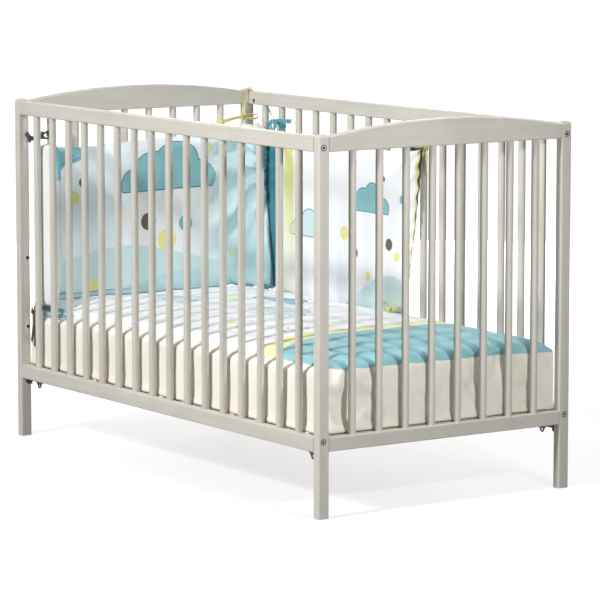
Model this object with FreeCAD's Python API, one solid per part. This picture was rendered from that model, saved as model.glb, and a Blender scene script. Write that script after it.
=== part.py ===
import FreeCAD, Part
import math
import os

# Wooden baby crib: four posts, railed and barred sides and ends, a slatted base that bolts
# at three heights, a mattress with a fitted sheet, and a padded bumper tied to the bars.
# Frame: origin on the floor under the middle of the crib, +X to the foot end, +Y to the back, +Z up.
# All sizes in millimetres.

V = FreeCAD.Vector

# ---- sleeping space -------------------------------------------------------------------------
clear_length = 1200.0          # between the head rails and the foot rails
clear_width = 606.0            # between the front rails and the back rails

# ---- posts and rails ------------------------------------------------------------------------
stock = 20.0                   # thickness of every rail, and of a post along the crib
post_width = 26.0              # of a post across the crib
post_height = 784.0
post_edge_radius = 3.0
post_top_radius = 8.0          # softened top of a post
side_rail_height = 32.0        # front and back rails, top and bottom
end_rail_height = 30.0         # bottom rails of the head and foot ends
end_top_rail_height = 31.0     # of an arched top rail, where it meets the posts
bottom_rail_top = 168.0        # above the floor
top_rail_bottom = 748.0        # above the floor
arch_rise = 25.5               # of an arched top rail, from the posts to its middle
rail_edge_radius = 3.0
side_rail_end_radius = 1.0
end_rail_end_radius = 2.0

# ---- bars -----------------------------------------------------------------------------------
bar_diameter = 16.0
bar_tenon = 12.0               # length of a bar held inside each rail
bar_fit = 0.05                 # radial gap of a bar or dowel in its hole
side_bar_count = 16
side_bar_offset = 66.0         # first bar's axis from the post
end_bar_count = 8
end_bar_offset = 63.2          # first bar's axis from the post

# ---- joinery hardware -----------------------------------------------------------------------
dowel_diameter = 8.0
side_dowel_in_post = 12.0
end_dowel_in_post = 8.0
dowel_in_rail = 22.0
end_dowel_spacing = 15.0
hardware_inset = 9.0           # side bolts and dowels from the rail's long edges
hardware_depth = 12.0          # side bolts and dowels from the crib's outer side face
bolt_diameter = 6.0
bolt_head_diameter = 12.5
bolt_head_height = 2.2
bolt_hex = 4.0                 # across the flats of the socket
bolt_hex_depth = 1.6
bolt_clearance = 0.3           # radial, in the timber
recess_clearance = 0.6         # radial, round a sunk bolt head
barrel_diameter = 10.0
barrel_length = 14.0
barrel_setback = 30.0          # barrel nut's axis from the rail's end
barrel_slot_width = 1.2        # screwdriver slot in a barrel nut's end
barrel_slot_depth = 1.5
bolt_head_edge = 0.7           # rounding of a side bolt's rim
button_edge = 1.5              # rounding of a bracket bolt's rim
peg_chamfer = 1.0              # ends of bars and dowels
bolt_extra_depth = 3.0         # side bolt's hole past the bolt's tip
thread_fit = 0.02              # radial, screw to nut or insert
blind_extra = 0.5              # a blind hole runs this much past what it holds

# ---- base height fixings --------------------------------------------------------------------
base_hole_below_rail = 8.0     # low base holes under the side rails
base_low_step = 128.0          # from the low holes to the middle holes
base_high_step = 160.0         # from the middle holes to the high holes
insert_diameter = 8.0
insert_length = 12.0

# ---- base brackets --------------------------------------------------------------------------
plate = 2.5                    # bracket sheet thickness
bracket_length = 54.0          # along the crib, from the post
bracket_arm_gap = 1.0          # arm's top under the side rail
bracket_shelf = 26.0           # of the carrying shelf, across the crib
bracket_wall_height = 16.0     # upright wall beside the base, above the shelf
bracket_member_gap = 0.5       # wall to the base
bracket_head_gap = 0.75        # wall to the arm bolt's head
tab_offset = 38.0              # spare hole's axis from the post
tab_drop = 20.5                # spare hole's axis below the shelf's top
tab_radius = 6.0
tab_top_half_width = 13.5
tab_hole_diameter = 6.5
button_diameter = 10.5
button_height = 3.3
bracket_bolt_in_insert = 10.0

# ---- slatted base ---------------------------------------------------------------------------
base_end_gap = 5.0             # base to the end rails
base_side_gap = 8.0            # base to the side rails
member_width = 18.0
member_height = 18.0
slat_count = 13
slat_width = 50.0
slat_thickness = 9.0
member_edge_radius = 1.5
slat_edge_radius = 2.0
slat_screw_length = 22.0
slat_screw_diameter = 3.5
slat_screw_head = 7.0
frame_screw_length = 50.0
frame_screw_diameter = 5.0
frame_screw_head = 9.0

# ---- mattress, sheet and bumper -------------------------------------------------------------
soft_gap = 0.3                 # between parts that lie on each other
mattress_end_gap = 6.0         # mattress to the end rails
mattress_side_gap = 9.0        # mattress to the side rails
mattress_height = 149.0
mattress_corner_radius = 28.0
mattress_edge_radius = 18.0
cover_thickness = 2.0
sheet_thickness = 1.2
sheet_turn_under = 70.0
pad_height = 365.0
pad_thickness = 30.0
pad_cover_thickness = 1.5
pad_wall_gap = 1.0             # pads to the rails' inner faces
pad_corner_radius = 40.0
head_pad_return = 109.0        # head pad's run along each side
join_length = 60.0             # flat panel that joins the two pads
join_thickness = 5.0
back_pad_length = 540.0

# ---- the bumper's ribbons -------------------------------------------------------------------
ribbon_width = 10.0
ribbon_thickness = 1.2
ribbon_gap = 0.4               # radial, round a bar
knot_size = 9.0
knot_from_edge = 4.5           # a knot's middle from the pad's outer face
low_loop_rise = 3.0            # loop above the pad's top edge
high_loop_rise = 20.0
short_end = 35.0               # of a tied ribbon, past its knot
long_end = 56.0
corner_knot_setback = 20.0     # head end's corner knots from the pad's long sides
edge_knot_setback = 7.0        # back pad's top knot from its foot end
corner_gap = 4.0               # ribbon over the post from the pad's corner
post_top_gap = 1.0             # ribbon over the post
bow_thickness = 4.0            # of a lying bow's folded loops
bow_wing = 37.0
long_bow_wing = 84.0
back_bow_setback = 65.0        # back pad's lying bow from its foot end
hanging_knot_setback = 27.0    # hanging tie's knot from the head end of the pad
hanging_loop_drop = 20.0       # its loop under the pad
hanging_length = 110.0         # its free ends under the pad
hanging_end_spacing = 4.0

# ---- places worked out from the sizes above -------------------------------------------------
inner_x = clear_length / 2
inner_y = clear_width / 2
outer_x = inner_x + stock
outer_y = inner_y + stock
post_inner_y = outer_y - post_width
post_middle_x = inner_x + stock / 2
side_rail_middle_y = inner_y + stock / 2
hardware_y = outer_y - hardware_depth
side_bottom_z = bottom_rail_top - side_rail_height
end_bottom_z = bottom_rail_top - end_rail_height
side_top_z = top_rail_bottom + side_rail_height
end_top_z = top_rail_bottom + end_top_rail_height
top_bolt_z = top_rail_bottom + hardware_inset
bottom_bolt_z = bottom_rail_top - hardware_inset
top_dowel_z = side_top_z - hardware_inset
bottom_dowel_z = side_bottom_z + hardware_inset
bolt_length = stock + barrel_setback + barrel_diameter / 2
low_hole_z = side_bottom_z - base_hole_below_rail
middle_hole_z = low_hole_z + base_low_step
high_hole_z = middle_hole_z + base_high_step
base_hole_z = (low_hole_z, middle_hole_z, high_hole_z)
seat_z = bottom_rail_top - slat_thickness - member_height
base_x = inner_x - base_end_gap
base_y = inner_y - base_side_gap
wall_y = base_y + bracket_member_gap
base_hole_y = wall_y + plate + bracket_head_gap + button_diameter / 2
mattress_length = clear_length - 2 * mattress_end_gap
mattress_width = clear_width - 2 * mattress_side_gap
slat_z = seat_z + member_height
deck_z = slat_z + slat_thickness
sheet_z = deck_z + soft_gap
mattress_z = sheet_z + sheet_thickness
bed_top_z = mattress_z + mattress_height + sheet_thickness
pad_z = bed_top_z + soft_gap
pad_top_z = pad_z + pad_height
pad_x = inner_x - pad_wall_gap
pad_y = inner_y - pad_wall_gap
head_pad_end_x = -inner_x + pad_wall_gap + head_pad_return
back_pad_start_x = head_pad_end_x + join_length
back_pad_end_x = back_pad_start_x + back_pad_length

X_AXIS = V(1, 0, 0)
Y_AXIS = V(0, 1, 0)
Z_AXIS = V(0, 0, 1)
ORIGIN = V(0, 0, 0)


# ---- shape helpers --------------------------------------------------------------------------
def block(low, high):
    """Box between two opposite corners."""
    size = V(*high) - V(*low)
    return Part.makeBox(size.x, size.y, size.z, V(*low))


def rod(start, direction, length, radius):
    return Part.makeCylinder(radius, length, V(*start), direction)


def cone(start, direction, length, radius_start, radius_end):
    return Part.makeCone(radius_start, radius_end, length, V(*start), direction)


def edges_along(shape, axis, test=lambda point: True):
    """Straight edges parallel to an axis whose middle point passes the test."""
    found = []
    for edge in shape.Edges:
        if not isinstance(edge.Curve, (Part.Line, Part.LineSegment)):
            continue
        direction = edge.tangentAt(edge.FirstParameter)
        if abs(direction.dot(axis)) > 0.999 and test(edge.CenterOfMass):
            found.append(edge)
    return found


def end_loops(shape, axis, place):
    """Edges that lie in the two end planes at plus and minus place along an axis."""
    return [e for e in shape.Edges
            if all(abs(abs(v.Point.dot(axis)) - place) < 1e-4 for v in e.Vertexes)
            and abs(abs(e.CenterOfMass.dot(axis)) - place) < 1e-4]


def mirror(shape, normal):
    return shape.mirror(ORIGIN, normal)


def in_two_halves(shape, normal):
    """The shape and its mirror image."""
    return [shape, mirror(shape, normal)]


def in_four_corners(shape):
    """A piece of the foot-back corner, repeated in the other three corners."""
    pair = in_two_halves(shape, X_AXIS)
    return pair + [mirror(s, Y_AXIS) for s in pair]


def outline_prism(points, direction):
    """Straight-sided outline pushed along a direction."""
    wire = Part.makePolygon([V(*p) for p in points + points[:1]])
    return Part.Face(wire).extrude(direction)


def save(name, shapes):
    """Writes one sub-part; identical pieces share the file as separate solids."""
    solids = []
    for shape in shapes:
        solids.extend(shape.Solids)
    whole = solids[0] if len(solids) == 1 else Part.makeCompound(solids)
    whole.exportStep("parts/" + name + ".step")


# ---- where the bars stand -------------------------------------------------------------------
def spread(half_span, offset, count):
    """Evenly spaced places between two posts, the first and last at an offset from them."""
    step = 2 * (half_span - offset) / (count - 1)
    return [-half_span + offset + i * step for i in range(count)]


side_bar_places = spread(inner_x, side_bar_offset, side_bar_count)
end_bar_places = spread(post_inner_y, end_bar_offset, end_bar_count)


def bar(x, y):
    radius = bar_diameter / 2
    low = bottom_rail_top - bar_tenon
    length = top_rail_bottom - bottom_rail_top + 2 * bar_tenon
    body = rod((x, y, low), Z_AXIS, length, radius)
    return body.makeChamfer(peg_chamfer, [e for e in body.Edges if isinstance(e.Curve, Part.Circle)])


def bar_hole(x, y, rail_face, upward):
    """Blind hole for a bar's tenon, from a rail's face up or down into the rail."""
    depth = bar_tenon + blind_extra
    low = rail_face if upward else rail_face - depth
    return rod((x, y, low), Z_AXIS, depth, bar_diameter / 2 + bar_fit)


# ---- posts ----------------------------------------------------------------------------------
def post():
    """Foot-back post with its holes."""
    low = (inner_x, post_inner_y, 0)
    high = (outer_x, outer_y, post_height)
    shaft = block(low, high)
    shaft = shaft.makeFillet(post_edge_radius, edges_along(shaft, Z_AXIS))
    across_radius = min(post_top_radius, 0.45 * stock)
    for axis, radius in ((Y_AXIS, across_radius), (X_AXIS, post_top_radius)):
        crown = block(low, high)
        top = edges_along(crown, axis, lambda p: p.z > post_height / 2)
        shaft = shaft.common(crown.makeFillet(radius, top))
    cuts = []
    for z in (top_bolt_z, bottom_bolt_z):
        cuts.append(rod((inner_x, hardware_y, z), X_AXIS, stock, bolt_diameter / 2 + bolt_clearance))
        cuts.append(rod((outer_x - bolt_head_height, hardware_y, z), X_AXIS, bolt_head_height,
                        bolt_head_diameter / 2 + recess_clearance))
    for z in (top_dowel_z, bottom_dowel_z):
        cuts.append(rod((inner_x, hardware_y, z), X_AXIS, side_dowel_in_post + blind_extra,
                        dowel_diameter / 2 + bar_fit))
    for z in end_dowel_heights():
        cuts.append(rod((post_middle_x, post_inner_y, z), Y_AXIS, end_dowel_in_post + blind_extra,
                        dowel_diameter / 2 + bar_fit))
    for z in base_hole_z:
        cuts.append(rod((inner_x, base_hole_y, z), X_AXIS, insert_length + blind_extra,
                        insert_diameter / 2))
    return shaft.cut(Part.makeCompound(cuts))


def end_dowel_heights():
    """Two dowels in each end rail's joint, spaced about the middle of the rail's height."""
    heights = []
    for middle in ((end_bottom_z + bottom_rail_top) / 2, (top_rail_bottom + end_top_z) / 2):
        heights += [middle - end_dowel_spacing / 2, middle + end_dowel_spacing / 2]
    return heights


# ---- rails ----------------------------------------------------------------------------------
def side_rail(low_z, high_z, bolt_z, dowel_z, holes_up):
    """Back rail between the posts, bored for its bars, bolts, barrel nuts and dowels."""
    rail = block((-inner_x, inner_y, low_z), (inner_x, outer_y, high_z))
    rail = rail.makeFillet(rail_edge_radius, edges_along(rail, X_AXIS))
    rail = rail.makeFillet(side_rail_end_radius, end_loops(rail, X_AXIS, inner_x))
    face = low_z if holes_up else high_z
    cuts = [bar_hole(x, side_rail_middle_y, face, holes_up) for x in side_bar_places]
    bolt_reach = bolt_length - stock + bolt_extra_depth
    end_holes = [
        rod((inner_x - bolt_reach, hardware_y, bolt_z), X_AXIS, bolt_reach,
            bolt_diameter / 2 + bolt_clearance),
        rod((inner_x - barrel_setback, inner_y, bolt_z), Y_AXIS,
            hardware_y - inner_y + barrel_length / 2, barrel_diameter / 2),
        rod((inner_x - dowel_in_rail - blind_extra, hardware_y, dowel_z), X_AXIS,
            dowel_in_rail + blind_extra, dowel_diameter / 2 + bar_fit),
    ]
    for hole in end_holes:
        cuts += in_two_halves(hole, X_AXIS)
    return rail.cut(Part.makeCompound(cuts))


def end_rail_cuts(face, holes_up, middle_z):
    """Bar holes and dowel holes of one foot-end rail."""
    cuts = [bar_hole(post_middle_x, y, face, holes_up) for y in end_bar_places]
    for z in (middle_z - end_dowel_spacing / 2, middle_z + end_dowel_spacing / 2):
        hole = rod((post_middle_x, post_inner_y - dowel_in_rail - blind_extra, z), Y_AXIS,
                   dowel_in_rail + blind_extra, dowel_diameter / 2 + bar_fit)
        cuts += in_two_halves(hole, Y_AXIS)
    return Part.makeCompound(cuts)


def end_bottom_rail():
    rail = block((inner_x, -post_inner_y, end_bottom_z), (outer_x, post_inner_y, bottom_rail_top))
    rail = rail.makeFillet(rail_edge_radius, edges_along(rail, Y_AXIS))
    rail = rail.makeFillet(end_rail_end_radius, end_loops(rail, Y_AXIS, post_inner_y))
    return rail.cut(end_rail_cuts(bottom_rail_top, False, (end_bottom_z + bottom_rail_top) / 2))


def end_top_rail():
    """Rail with a straight underside and an arched top."""
    left_low = V(inner_x, -post_inner_y, top_rail_bottom)
    right_low = V(inner_x, post_inner_y, top_rail_bottom)
    left_high = V(inner_x, -post_inner_y, end_top_z)
    right_high = V(inner_x, post_inner_y, end_top_z)
    crest = V(inner_x, 0, end_top_z + arch_rise)
    outline = Part.Wire([
        Part.makeLine(left_low, right_low),
        Part.makeLine(right_low, right_high),
        Part.Arc(right_high, crest, left_high).toShape(),
        Part.makeLine(left_high, left_low),
    ])
    rail = Part.Face(outline).extrude(X_AXIS * stock)
    long_edges = [e for e in rail.Edges if e.Length > post_inner_y]
    rail = rail.makeFillet(rail_edge_radius, long_edges)
    rail = rail.makeFillet(end_rail_end_radius, end_loops(rail, Y_AXIS, post_inner_y))
    return rail.cut(end_rail_cuts(top_rail_bottom, True, (top_rail_bottom + end_top_z) / 2))


# ---- dowels, bolts and nuts -----------------------------------------------------------------
def dowel(start, direction, length):
    peg = rod(start, direction, length, dowel_diameter / 2)
    return peg.makeChamfer(peg_chamfer, [e for e in peg.Edges if isinstance(e.Curve, Part.Circle)])


def side_dowels():
    length = side_dowel_in_post + dowel_in_rail
    pegs = []
    for z in (top_dowel_z, bottom_dowel_z):
        pegs += in_four_corners(dowel((inner_x - dowel_in_rail, hardware_y, z), X_AXIS, length))
    return pegs


def end_dowels():
    length = end_dowel_in_post + dowel_in_rail
    pegs = []
    for z in end_dowel_heights():
        peg = dowel((post_middle_x, post_inner_y - dowel_in_rail, z), Y_AXIS, length)
        pegs += in_four_corners(peg)
    return pegs


def hex_socket(face_x, y, z, depth, outward):
    """Six-sided pocket cut into a bolt head whose face looks along plus or minus X."""
    corner = bolt_hex / math.sqrt(3)
    points = []
    for i in range(6):
        angle = math.radians(60 * i)
        points.append((face_x, y + corner * math.cos(angle), z + corner * math.sin(angle)))
    return outline_prism(points, X_AXIS * (-depth * outward))


def side_bolt(z):
    """Flat-headed connector bolt, sunk flush in the post, through to the barrel nut."""
    head = rod((outer_x - bolt_head_height, hardware_y, z), X_AXIS, bolt_head_height,
               bolt_head_diameter / 2)
    rim = [e for e in head.Edges if isinstance(e.Curve, Part.Circle) and e.CenterOfMass.x > outer_x - 0.1]
    head = head.makeFillet(bolt_head_edge, rim)
    head = head.cut(hex_socket(outer_x, hardware_y, z, bolt_hex_depth, 1))
    shank = rod((outer_x - bolt_length, hardware_y, z), X_AXIS, bolt_length - bolt_head_height,
                bolt_diameter / 2)
    return head.fuse(shank).removeSplitter()


def barrel_nut(z):
    axis_x = inner_x - barrel_setback
    start_y = hardware_y - barrel_length / 2
    nut = rod((axis_x, start_y, z), Y_AXIS, barrel_length, barrel_diameter / 2 - bar_fit)
    thread = rod((axis_x - barrel_diameter, hardware_y, z), X_AXIS, 2 * barrel_diameter,
                 bolt_diameter / 2 + thread_fit)
    half_slot = barrel_slot_width / 2
    slot = block((axis_x - barrel_diameter, start_y, z - half_slot),
                 (axis_x + barrel_diameter, start_y + barrel_slot_depth, z + half_slot))
    return nut.cut(thread).cut(slot)


def threaded_insert(z):
    """Sleeve let into the post's inner face, for a base bracket's bolt."""
    sleeve = rod((inner_x, base_hole_y, z), X_AXIS, insert_length, insert_diameter / 2)
    return sleeve.cut(rod((inner_x, base_hole_y, z), X_AXIS, insert_length, bolt_diameter / 2 + thread_fit))


def bracket_bolt():
    """Button-headed bolt through the bracket's arm into the low insert."""
    face_x = inner_x - plate
    head = rod((face_x - button_height, base_hole_y, low_hole_z), X_AXIS, button_height, button_diameter / 2)
    rim = [e for e in head.Edges if isinstance(e.Curve, Part.Circle) and e.CenterOfMass.x < face_x - 0.1]
    head = head.makeFillet(button_edge, rim)
    head = head.cut(hex_socket(face_x - button_height, base_hole_y, low_hole_z, bolt_hex_depth, -1))
    shank = rod((face_x, base_hole_y, low_hole_z), X_AXIS, plate + bracket_bolt_in_insert, bolt_diameter / 2)
    return head.fuse(shank).removeSplitter()


def base_bracket():
    """Bent steel seat for a corner of the base: an arm bolted to the post under the side rail,
    an upright wall beside the base, a shelf under it, and a tab with a spare hole."""
    post_x = inner_x - plate
    far_x = inner_x - bracket_length
    arm_radius = base_hole_below_rail - bracket_arm_gap
    arm_top = low_hole_z + arm_radius
    arm_low = low_hole_z - arm_radius
    tab_x = inner_x - tab_offset
    tab_z = seat_z - tab_drop
    wall_low = low_hole_z

    wall = block((far_x, wall_y, wall_low), (inner_x, wall_y + plate, seat_z + bracket_wall_height))
    shelf = block((far_x, wall_y + plate - bracket_shelf, seat_z - plate), (inner_x, wall_y + plate, seat_z))
    arm = block((post_x, wall_y, arm_low), (inner_x, base_hole_y, arm_top))
    arm_end = rod((post_x, base_hole_y, low_hole_z), X_AXIS, plate, arm_radius)
    tab = outline_prism([(tab_x - tab_top_half_width, wall_y, wall_low),
                         (tab_x + tab_top_half_width, wall_y, wall_low),
                         (tab_x + tab_radius, wall_y, tab_z), (tab_x - tab_radius, wall_y, tab_z)],
                        Y_AXIS * plate)
    tab_end = rod((tab_x, wall_y, tab_z), Y_AXIS, plate, tab_radius)
    bracket = wall.multiFuse([shelf, arm, arm_end, tab, tab_end]).removeSplitter()
    holes = [rod((post_x, base_hole_y, low_hole_z), X_AXIS, plate, bolt_diameter / 2 + bolt_clearance),
             rod((tab_x, wall_y, tab_z), Y_AXIS, plate, tab_hole_diameter / 2)]
    return bracket.cut(Part.makeCompound(holes))


# ---- slatted base ---------------------------------------------------------------------------
def wood_screw(start, direction, length, diameter, head_diameter):
    """Countersunk screw; start is the middle of its head's flat face."""
    head_depth = (head_diameter - diameter) / 2
    head = cone(start, direction, head_depth, head_diameter / 2, diameter / 2)
    neck = V(*start) + direction * head_depth
    tip_length = diameter
    shank = rod(tuple(neck), direction, length - head_depth - tip_length, diameter / 2)
    tip_start = V(*start) + direction * (length - tip_length)
    tip = cone(tuple(tip_start), direction, tip_length, diameter / 2, 0.3)
    return head.multiFuse([shank, tip]).removeSplitter()


def slat_places():
    return spread(base_x, slat_width / 2, slat_count)


def slat_screws():
    y = base_y - member_width / 2
    screws = []
    for x in slat_places():
        screw = wood_screw((x, y, deck_z), -Z_AXIS, slat_screw_length, slat_screw_diameter, slat_screw_head)
        screws += in_two_halves(screw, Y_AXIS)
    return screws


def base_frame_screws():
    x = base_x - member_width / 2
    z = seat_z + member_height / 2
    screw = wood_screw((x, base_y, z), -Y_AXIS, frame_screw_length, frame_screw_diameter, frame_screw_head)
    return in_four_corners(screw)


def base_side_member():
    member = block((-base_x, base_y - member_width, seat_z), (base_x, base_y, slat_z))
    return member.makeFillet(member_edge_radius, edges_along(member, X_AXIS))


def base_end_member():
    reach = base_y - member_width
    member = block((base_x - member_width, -reach, seat_z), (base_x, reach, slat_z))
    return member.makeFillet(member_edge_radius, edges_along(member, Y_AXIS))


def slats():
    made = []
    for x in slat_places():
        slat = block((x - slat_width / 2, -base_y, slat_z), (x + slat_width / 2, base_y, deck_z))
        made.append(slat.makeFillet(slat_edge_radius, edges_along(slat, Y_AXIS)))
    return made


def bored_for(shapes, screws):
    """Shapes with the seats of their screws cut out."""
    tool = Part.makeCompound(screws)
    return [s.cut(tool) for s in shapes]


# ---- mattress and sheet ---------------------------------------------------------------------
def bed_block(skin):
    """Mattress block grown outward by a skin, with rounded corners and edges."""
    x = mattress_length / 2 + skin
    y = mattress_width / 2 + skin
    body = block((-x, -y, mattress_z - skin), (x, y, mattress_z + mattress_height + skin))
    body = body.makeFillet(mattress_corner_radius + skin, edges_along(body, Z_AXIS))
    rims = [e for e in body.Edges if abs(e.CenterOfMass.z - (mattress_z + mattress_height / 2)) > 1.0]
    return body.makeFillet(mattress_edge_radius + skin, rims)


def fitted_sheet():
    """Cloth skin over the top and sides, turned under the mattress on all four sides."""
    x = mattress_length / 2 - sheet_turn_under
    y = mattress_width / 2 - sheet_turn_under
    opening = block((-x, -y, sheet_z - 1), (x, y, mattress_z + 1))
    return bed_block(sheet_thickness).cut(bed_block(0)).cut(opening)


# ---- bumper ---------------------------------------------------------------------------------
def rounded_plan(low_x, high_x, half_y, radius, low_z, height):
    """Upright block with rounded vertical corners at its low X side."""
    body = block((low_x, -half_y, low_z), (high_x, half_y, low_z + height))
    return body.makeFillet(radius, edges_along(body, Z_AXIS, lambda p: p.x < low_x + 1))


def head_pad(inset):
    """U-shaped pad along the head end and round both corners, shrunk all over by an inset."""
    low_z = pad_z + inset
    height = pad_height - 2 * inset
    end_x = head_pad_end_x - inset
    outer = rounded_plan(-pad_x + inset, end_x, pad_y - inset, pad_corner_radius - inset, low_z, height)
    wall = pad_thickness - inset
    hollow = rounded_plan(-pad_x + wall, end_x + 1, pad_y - wall, max(pad_corner_radius - wall, 2.0),
                          low_z, height)
    return outer.cut(hollow)


def back_pad(inset):
    return block((back_pad_start_x + inset, pad_y - pad_thickness + inset, pad_z + inset),
                 (back_pad_end_x - inset, pad_y - inset, pad_top_z - inset))


def bumper_join():
    """Flat quilted panel between the head pad and the back pad."""
    return block((head_pad_end_x, pad_y - join_thickness, pad_z),
                 (back_pad_start_x, pad_y, pad_top_z))


# ---- ribbons: places in plan, and heights ---------------------------------------------------
def nearest(places, target):
    return min(places, key=lambda place: abs(place - target))


def beyond(place, dx, dy, distance):
    """Place at a distance from another, in the direction dx, dy."""
    length = math.hypot(dx, dy)
    return (place[0] + dx / length * distance, place[1] + dy / length * distance)


def upright_strap(start, end, thickness, low_z, high_z):
    """Upright slab between two places, centred on the line between them."""
    side = beyond((0, 0), start[1] - end[1], end[0] - start[0], thickness / 2)
    corners = [(start[0] - side[0], start[1] - side[1], low_z), (end[0] - side[0], end[1] - side[1], low_z),
               (end[0] + side[0], end[1] + side[1], low_z), (start[0] + side[0], start[1] + side[1], low_z)]
    return outline_prism(corners, Z_AXIS * (high_z - low_z))


def bar_loop(place, low_z):
    """Ribbon once round a bar."""
    inner = bar_diameter / 2 + ribbon_gap
    start = (place[0], place[1], low_z)
    ring = rod(start, Z_AXIS, ribbon_width, inner + ribbon_thickness)
    return ring.cut(rod(start, Z_AXIS, ribbon_width, inner))


def knot(place, low_z, high_z):
    half = knot_size / 2
    return block((place[0] - half, place[1] - half, low_z), (place[0] + half, place[1] + half, high_z))


def looped_tie(bar_place, knot_place, sewn_z, loop_z, free_ends):
    """Ribbon sewn to a pad at sewn_z and knotted, with its loop round a bar and its free ends."""
    high_z = loop_z + ribbon_width
    touch = beyond(bar_place, knot_place[0] - bar_place[0], knot_place[1] - bar_place[1],
                   bar_diameter / 2 + ribbon_gap + ribbon_thickness / 2)
    pieces = [bar_loop(bar_place, loop_z)]
    for start, end in [(touch, knot_place)] + [(knot_place, end) for end in free_ends]:
        pieces.append(upright_strap(start, end, ribbon_thickness, loop_z, high_z))
    return knot(knot_place, min(sewn_z, loop_z), max(sewn_z, high_z)).multiFuse(pieces).removeSplitter()


def head_front_top_tie():
    bar_place = (-post_middle_x, end_bar_places[0])
    knot_place = (-pad_x + 2 * knot_from_edge, -pad_y + corner_knot_setback)
    free_end = beyond(knot_place, -1, -4, short_end - knot_size)
    return looped_tie(bar_place, knot_place, pad_top_z, pad_top_z + low_loop_rise, [free_end])


def head_back_top_tie():
    """One free end is a strand that runs up the corner and over the top of the post."""
    bar_place = (-post_middle_x, end_bar_places[-1])
    knot_place = (-pad_x + 3 * knot_from_edge, pad_y - corner_knot_setback)
    corner = (-pad_x + ribbon_thickness, pad_y - corner_gap)
    bow_end = beyond(knot_place, 5, 2, short_end)
    loop_z = pad_top_z + high_loop_rise
    tie = looped_tie(bar_place, knot_place, pad_top_z, loop_z, [bow_end, corner])
    half = ribbon_width / 4
    over_z = post_height + post_top_gap
    climb = block((-pad_x, corner[1] - half, loop_z),
                  (corner[0], corner[1] + half, over_z + ribbon_thickness))
    over = block((-post_middle_x, corner[1] - half, over_z),
                 (corner[0], corner[1] + half, over_z + ribbon_thickness))
    return tie.multiFuse([climb, over]).removeSplitter()


def join_top_tie():
    knot_place = (head_pad_end_x + join_length * 0.7, pad_y - knot_from_edge)
    bar_place = (nearest(side_bar_places, knot_place[0]), side_rail_middle_y)
    ends = [beyond(knot_place, -1, 0, long_end), beyond(knot_place, 1, 0, short_end)]
    return looped_tie(bar_place, knot_place, pad_top_z, pad_top_z + high_loop_rise, ends)


def back_foot_top_tie():
    knot_place = (back_pad_end_x - edge_knot_setback, pad_y - knot_from_edge)
    bar_place = (nearest(side_bar_places, knot_place[0]), side_rail_middle_y)
    free_end = beyond(knot_place, 3, -1, short_end)
    return looped_tie(bar_place, knot_place, pad_top_z, pad_top_z + low_loop_rise, [free_end])


def head_front_hanging_tie():
    """Tied to the first front bar under the pad, its free ends hanging beside the mattress."""
    bar_place = (side_bar_places[0], -side_rail_middle_y)
    knot_place = (-pad_x + hanging_knot_setback, -pad_y + knot_from_edge / 2)
    loop_z = pad_z - hanging_loop_drop
    tie = looped_tie(bar_place, knot_place, pad_z, loop_z, [])
    tails = []
    for offset in (-hanging_end_spacing / 2, hanging_end_spacing / 2):
        x = knot_place[0] + offset
        tails.append(block((x - ribbon_thickness / 2, -pad_y + 1, pad_z - hanging_length),
                           (x + ribbon_thickness / 2, -pad_y + 4, loop_z)))
    return tie.multiFuse(tails).removeSplitter()


def lying_bow(knot_place, ends):
    """Untied bow that lies on the mattress against the foot of a pad."""
    high_z = pad_z + ribbon_width
    wings = [upright_strap(knot_place, end, bow_thickness, pad_z, high_z) for end in ends]
    return knot(knot_place, pad_z, high_z).multiFuse(wings).removeSplitter()


def front_lying_bow():
    """At the foot end of the head pad's front run."""
    middle = (head_pad_end_x + knot_size / 2, -pad_y + pad_thickness / 2)
    return lying_bow(middle, [beyond(middle, 6, -1, bow_wing), beyond(middle, 10, 1, long_bow_wing)])


def join_lying_bow():
    """At the foot of the flat panel between the pads."""
    middle = (head_pad_end_x + join_length / 2, pad_y - join_thickness - knot_size / 2)
    return lying_bow(middle, [beyond(middle, -2, -3, bow_wing), beyond(middle, 3, -4, bow_wing)])


def back_lying_bow():
    """Near the foot end of the back pad."""
    middle = (back_pad_end_x - back_bow_setback, pad_y - pad_thickness - knot_size / 2)
    return lying_bow(middle, [beyond(middle, -9, -1, bow_wing), beyond(middle, 9, -1, bow_wing)])


# ---- the crib, written out ------------------------------------------------------------------
os.makedirs("parts", exist_ok=True)

foot_back_post = post()
save("post_foot_back", [foot_back_post])
save("post_foot_front", [mirror(foot_back_post, Y_AXIS)])
save("post_head_back", [mirror(foot_back_post, X_AXIS)])
save("post_head_front", [mirror(mirror(foot_back_post, X_AXIS), Y_AXIS)])

back_rails = {
    "top_rail": side_rail(top_rail_bottom, side_top_z, top_bolt_z, top_dowel_z, True),
    "bottom_rail": side_rail(side_bottom_z, bottom_rail_top, bottom_bolt_z, bottom_dowel_z, False),
}
foot_rails = {"top_rail": end_top_rail(), "bottom_rail": end_bottom_rail()}
for name in ("top_rail", "bottom_rail"):
    save("back_" + name, [back_rails[name]])
    save("front_" + name, [mirror(back_rails[name], Y_AXIS)])
    save("foot_" + name, [foot_rails[name]])
    save("head_" + name, [mirror(foot_rails[name], X_AXIS)])

save("back_bars", [bar(x, side_rail_middle_y) for x in side_bar_places])
save("front_bars", [bar(x, -side_rail_middle_y) for x in side_bar_places])
save("foot_bars", [bar(post_middle_x, y) for y in end_bar_places])
save("head_bars", [bar(-post_middle_x, y) for y in end_bar_places])

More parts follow.
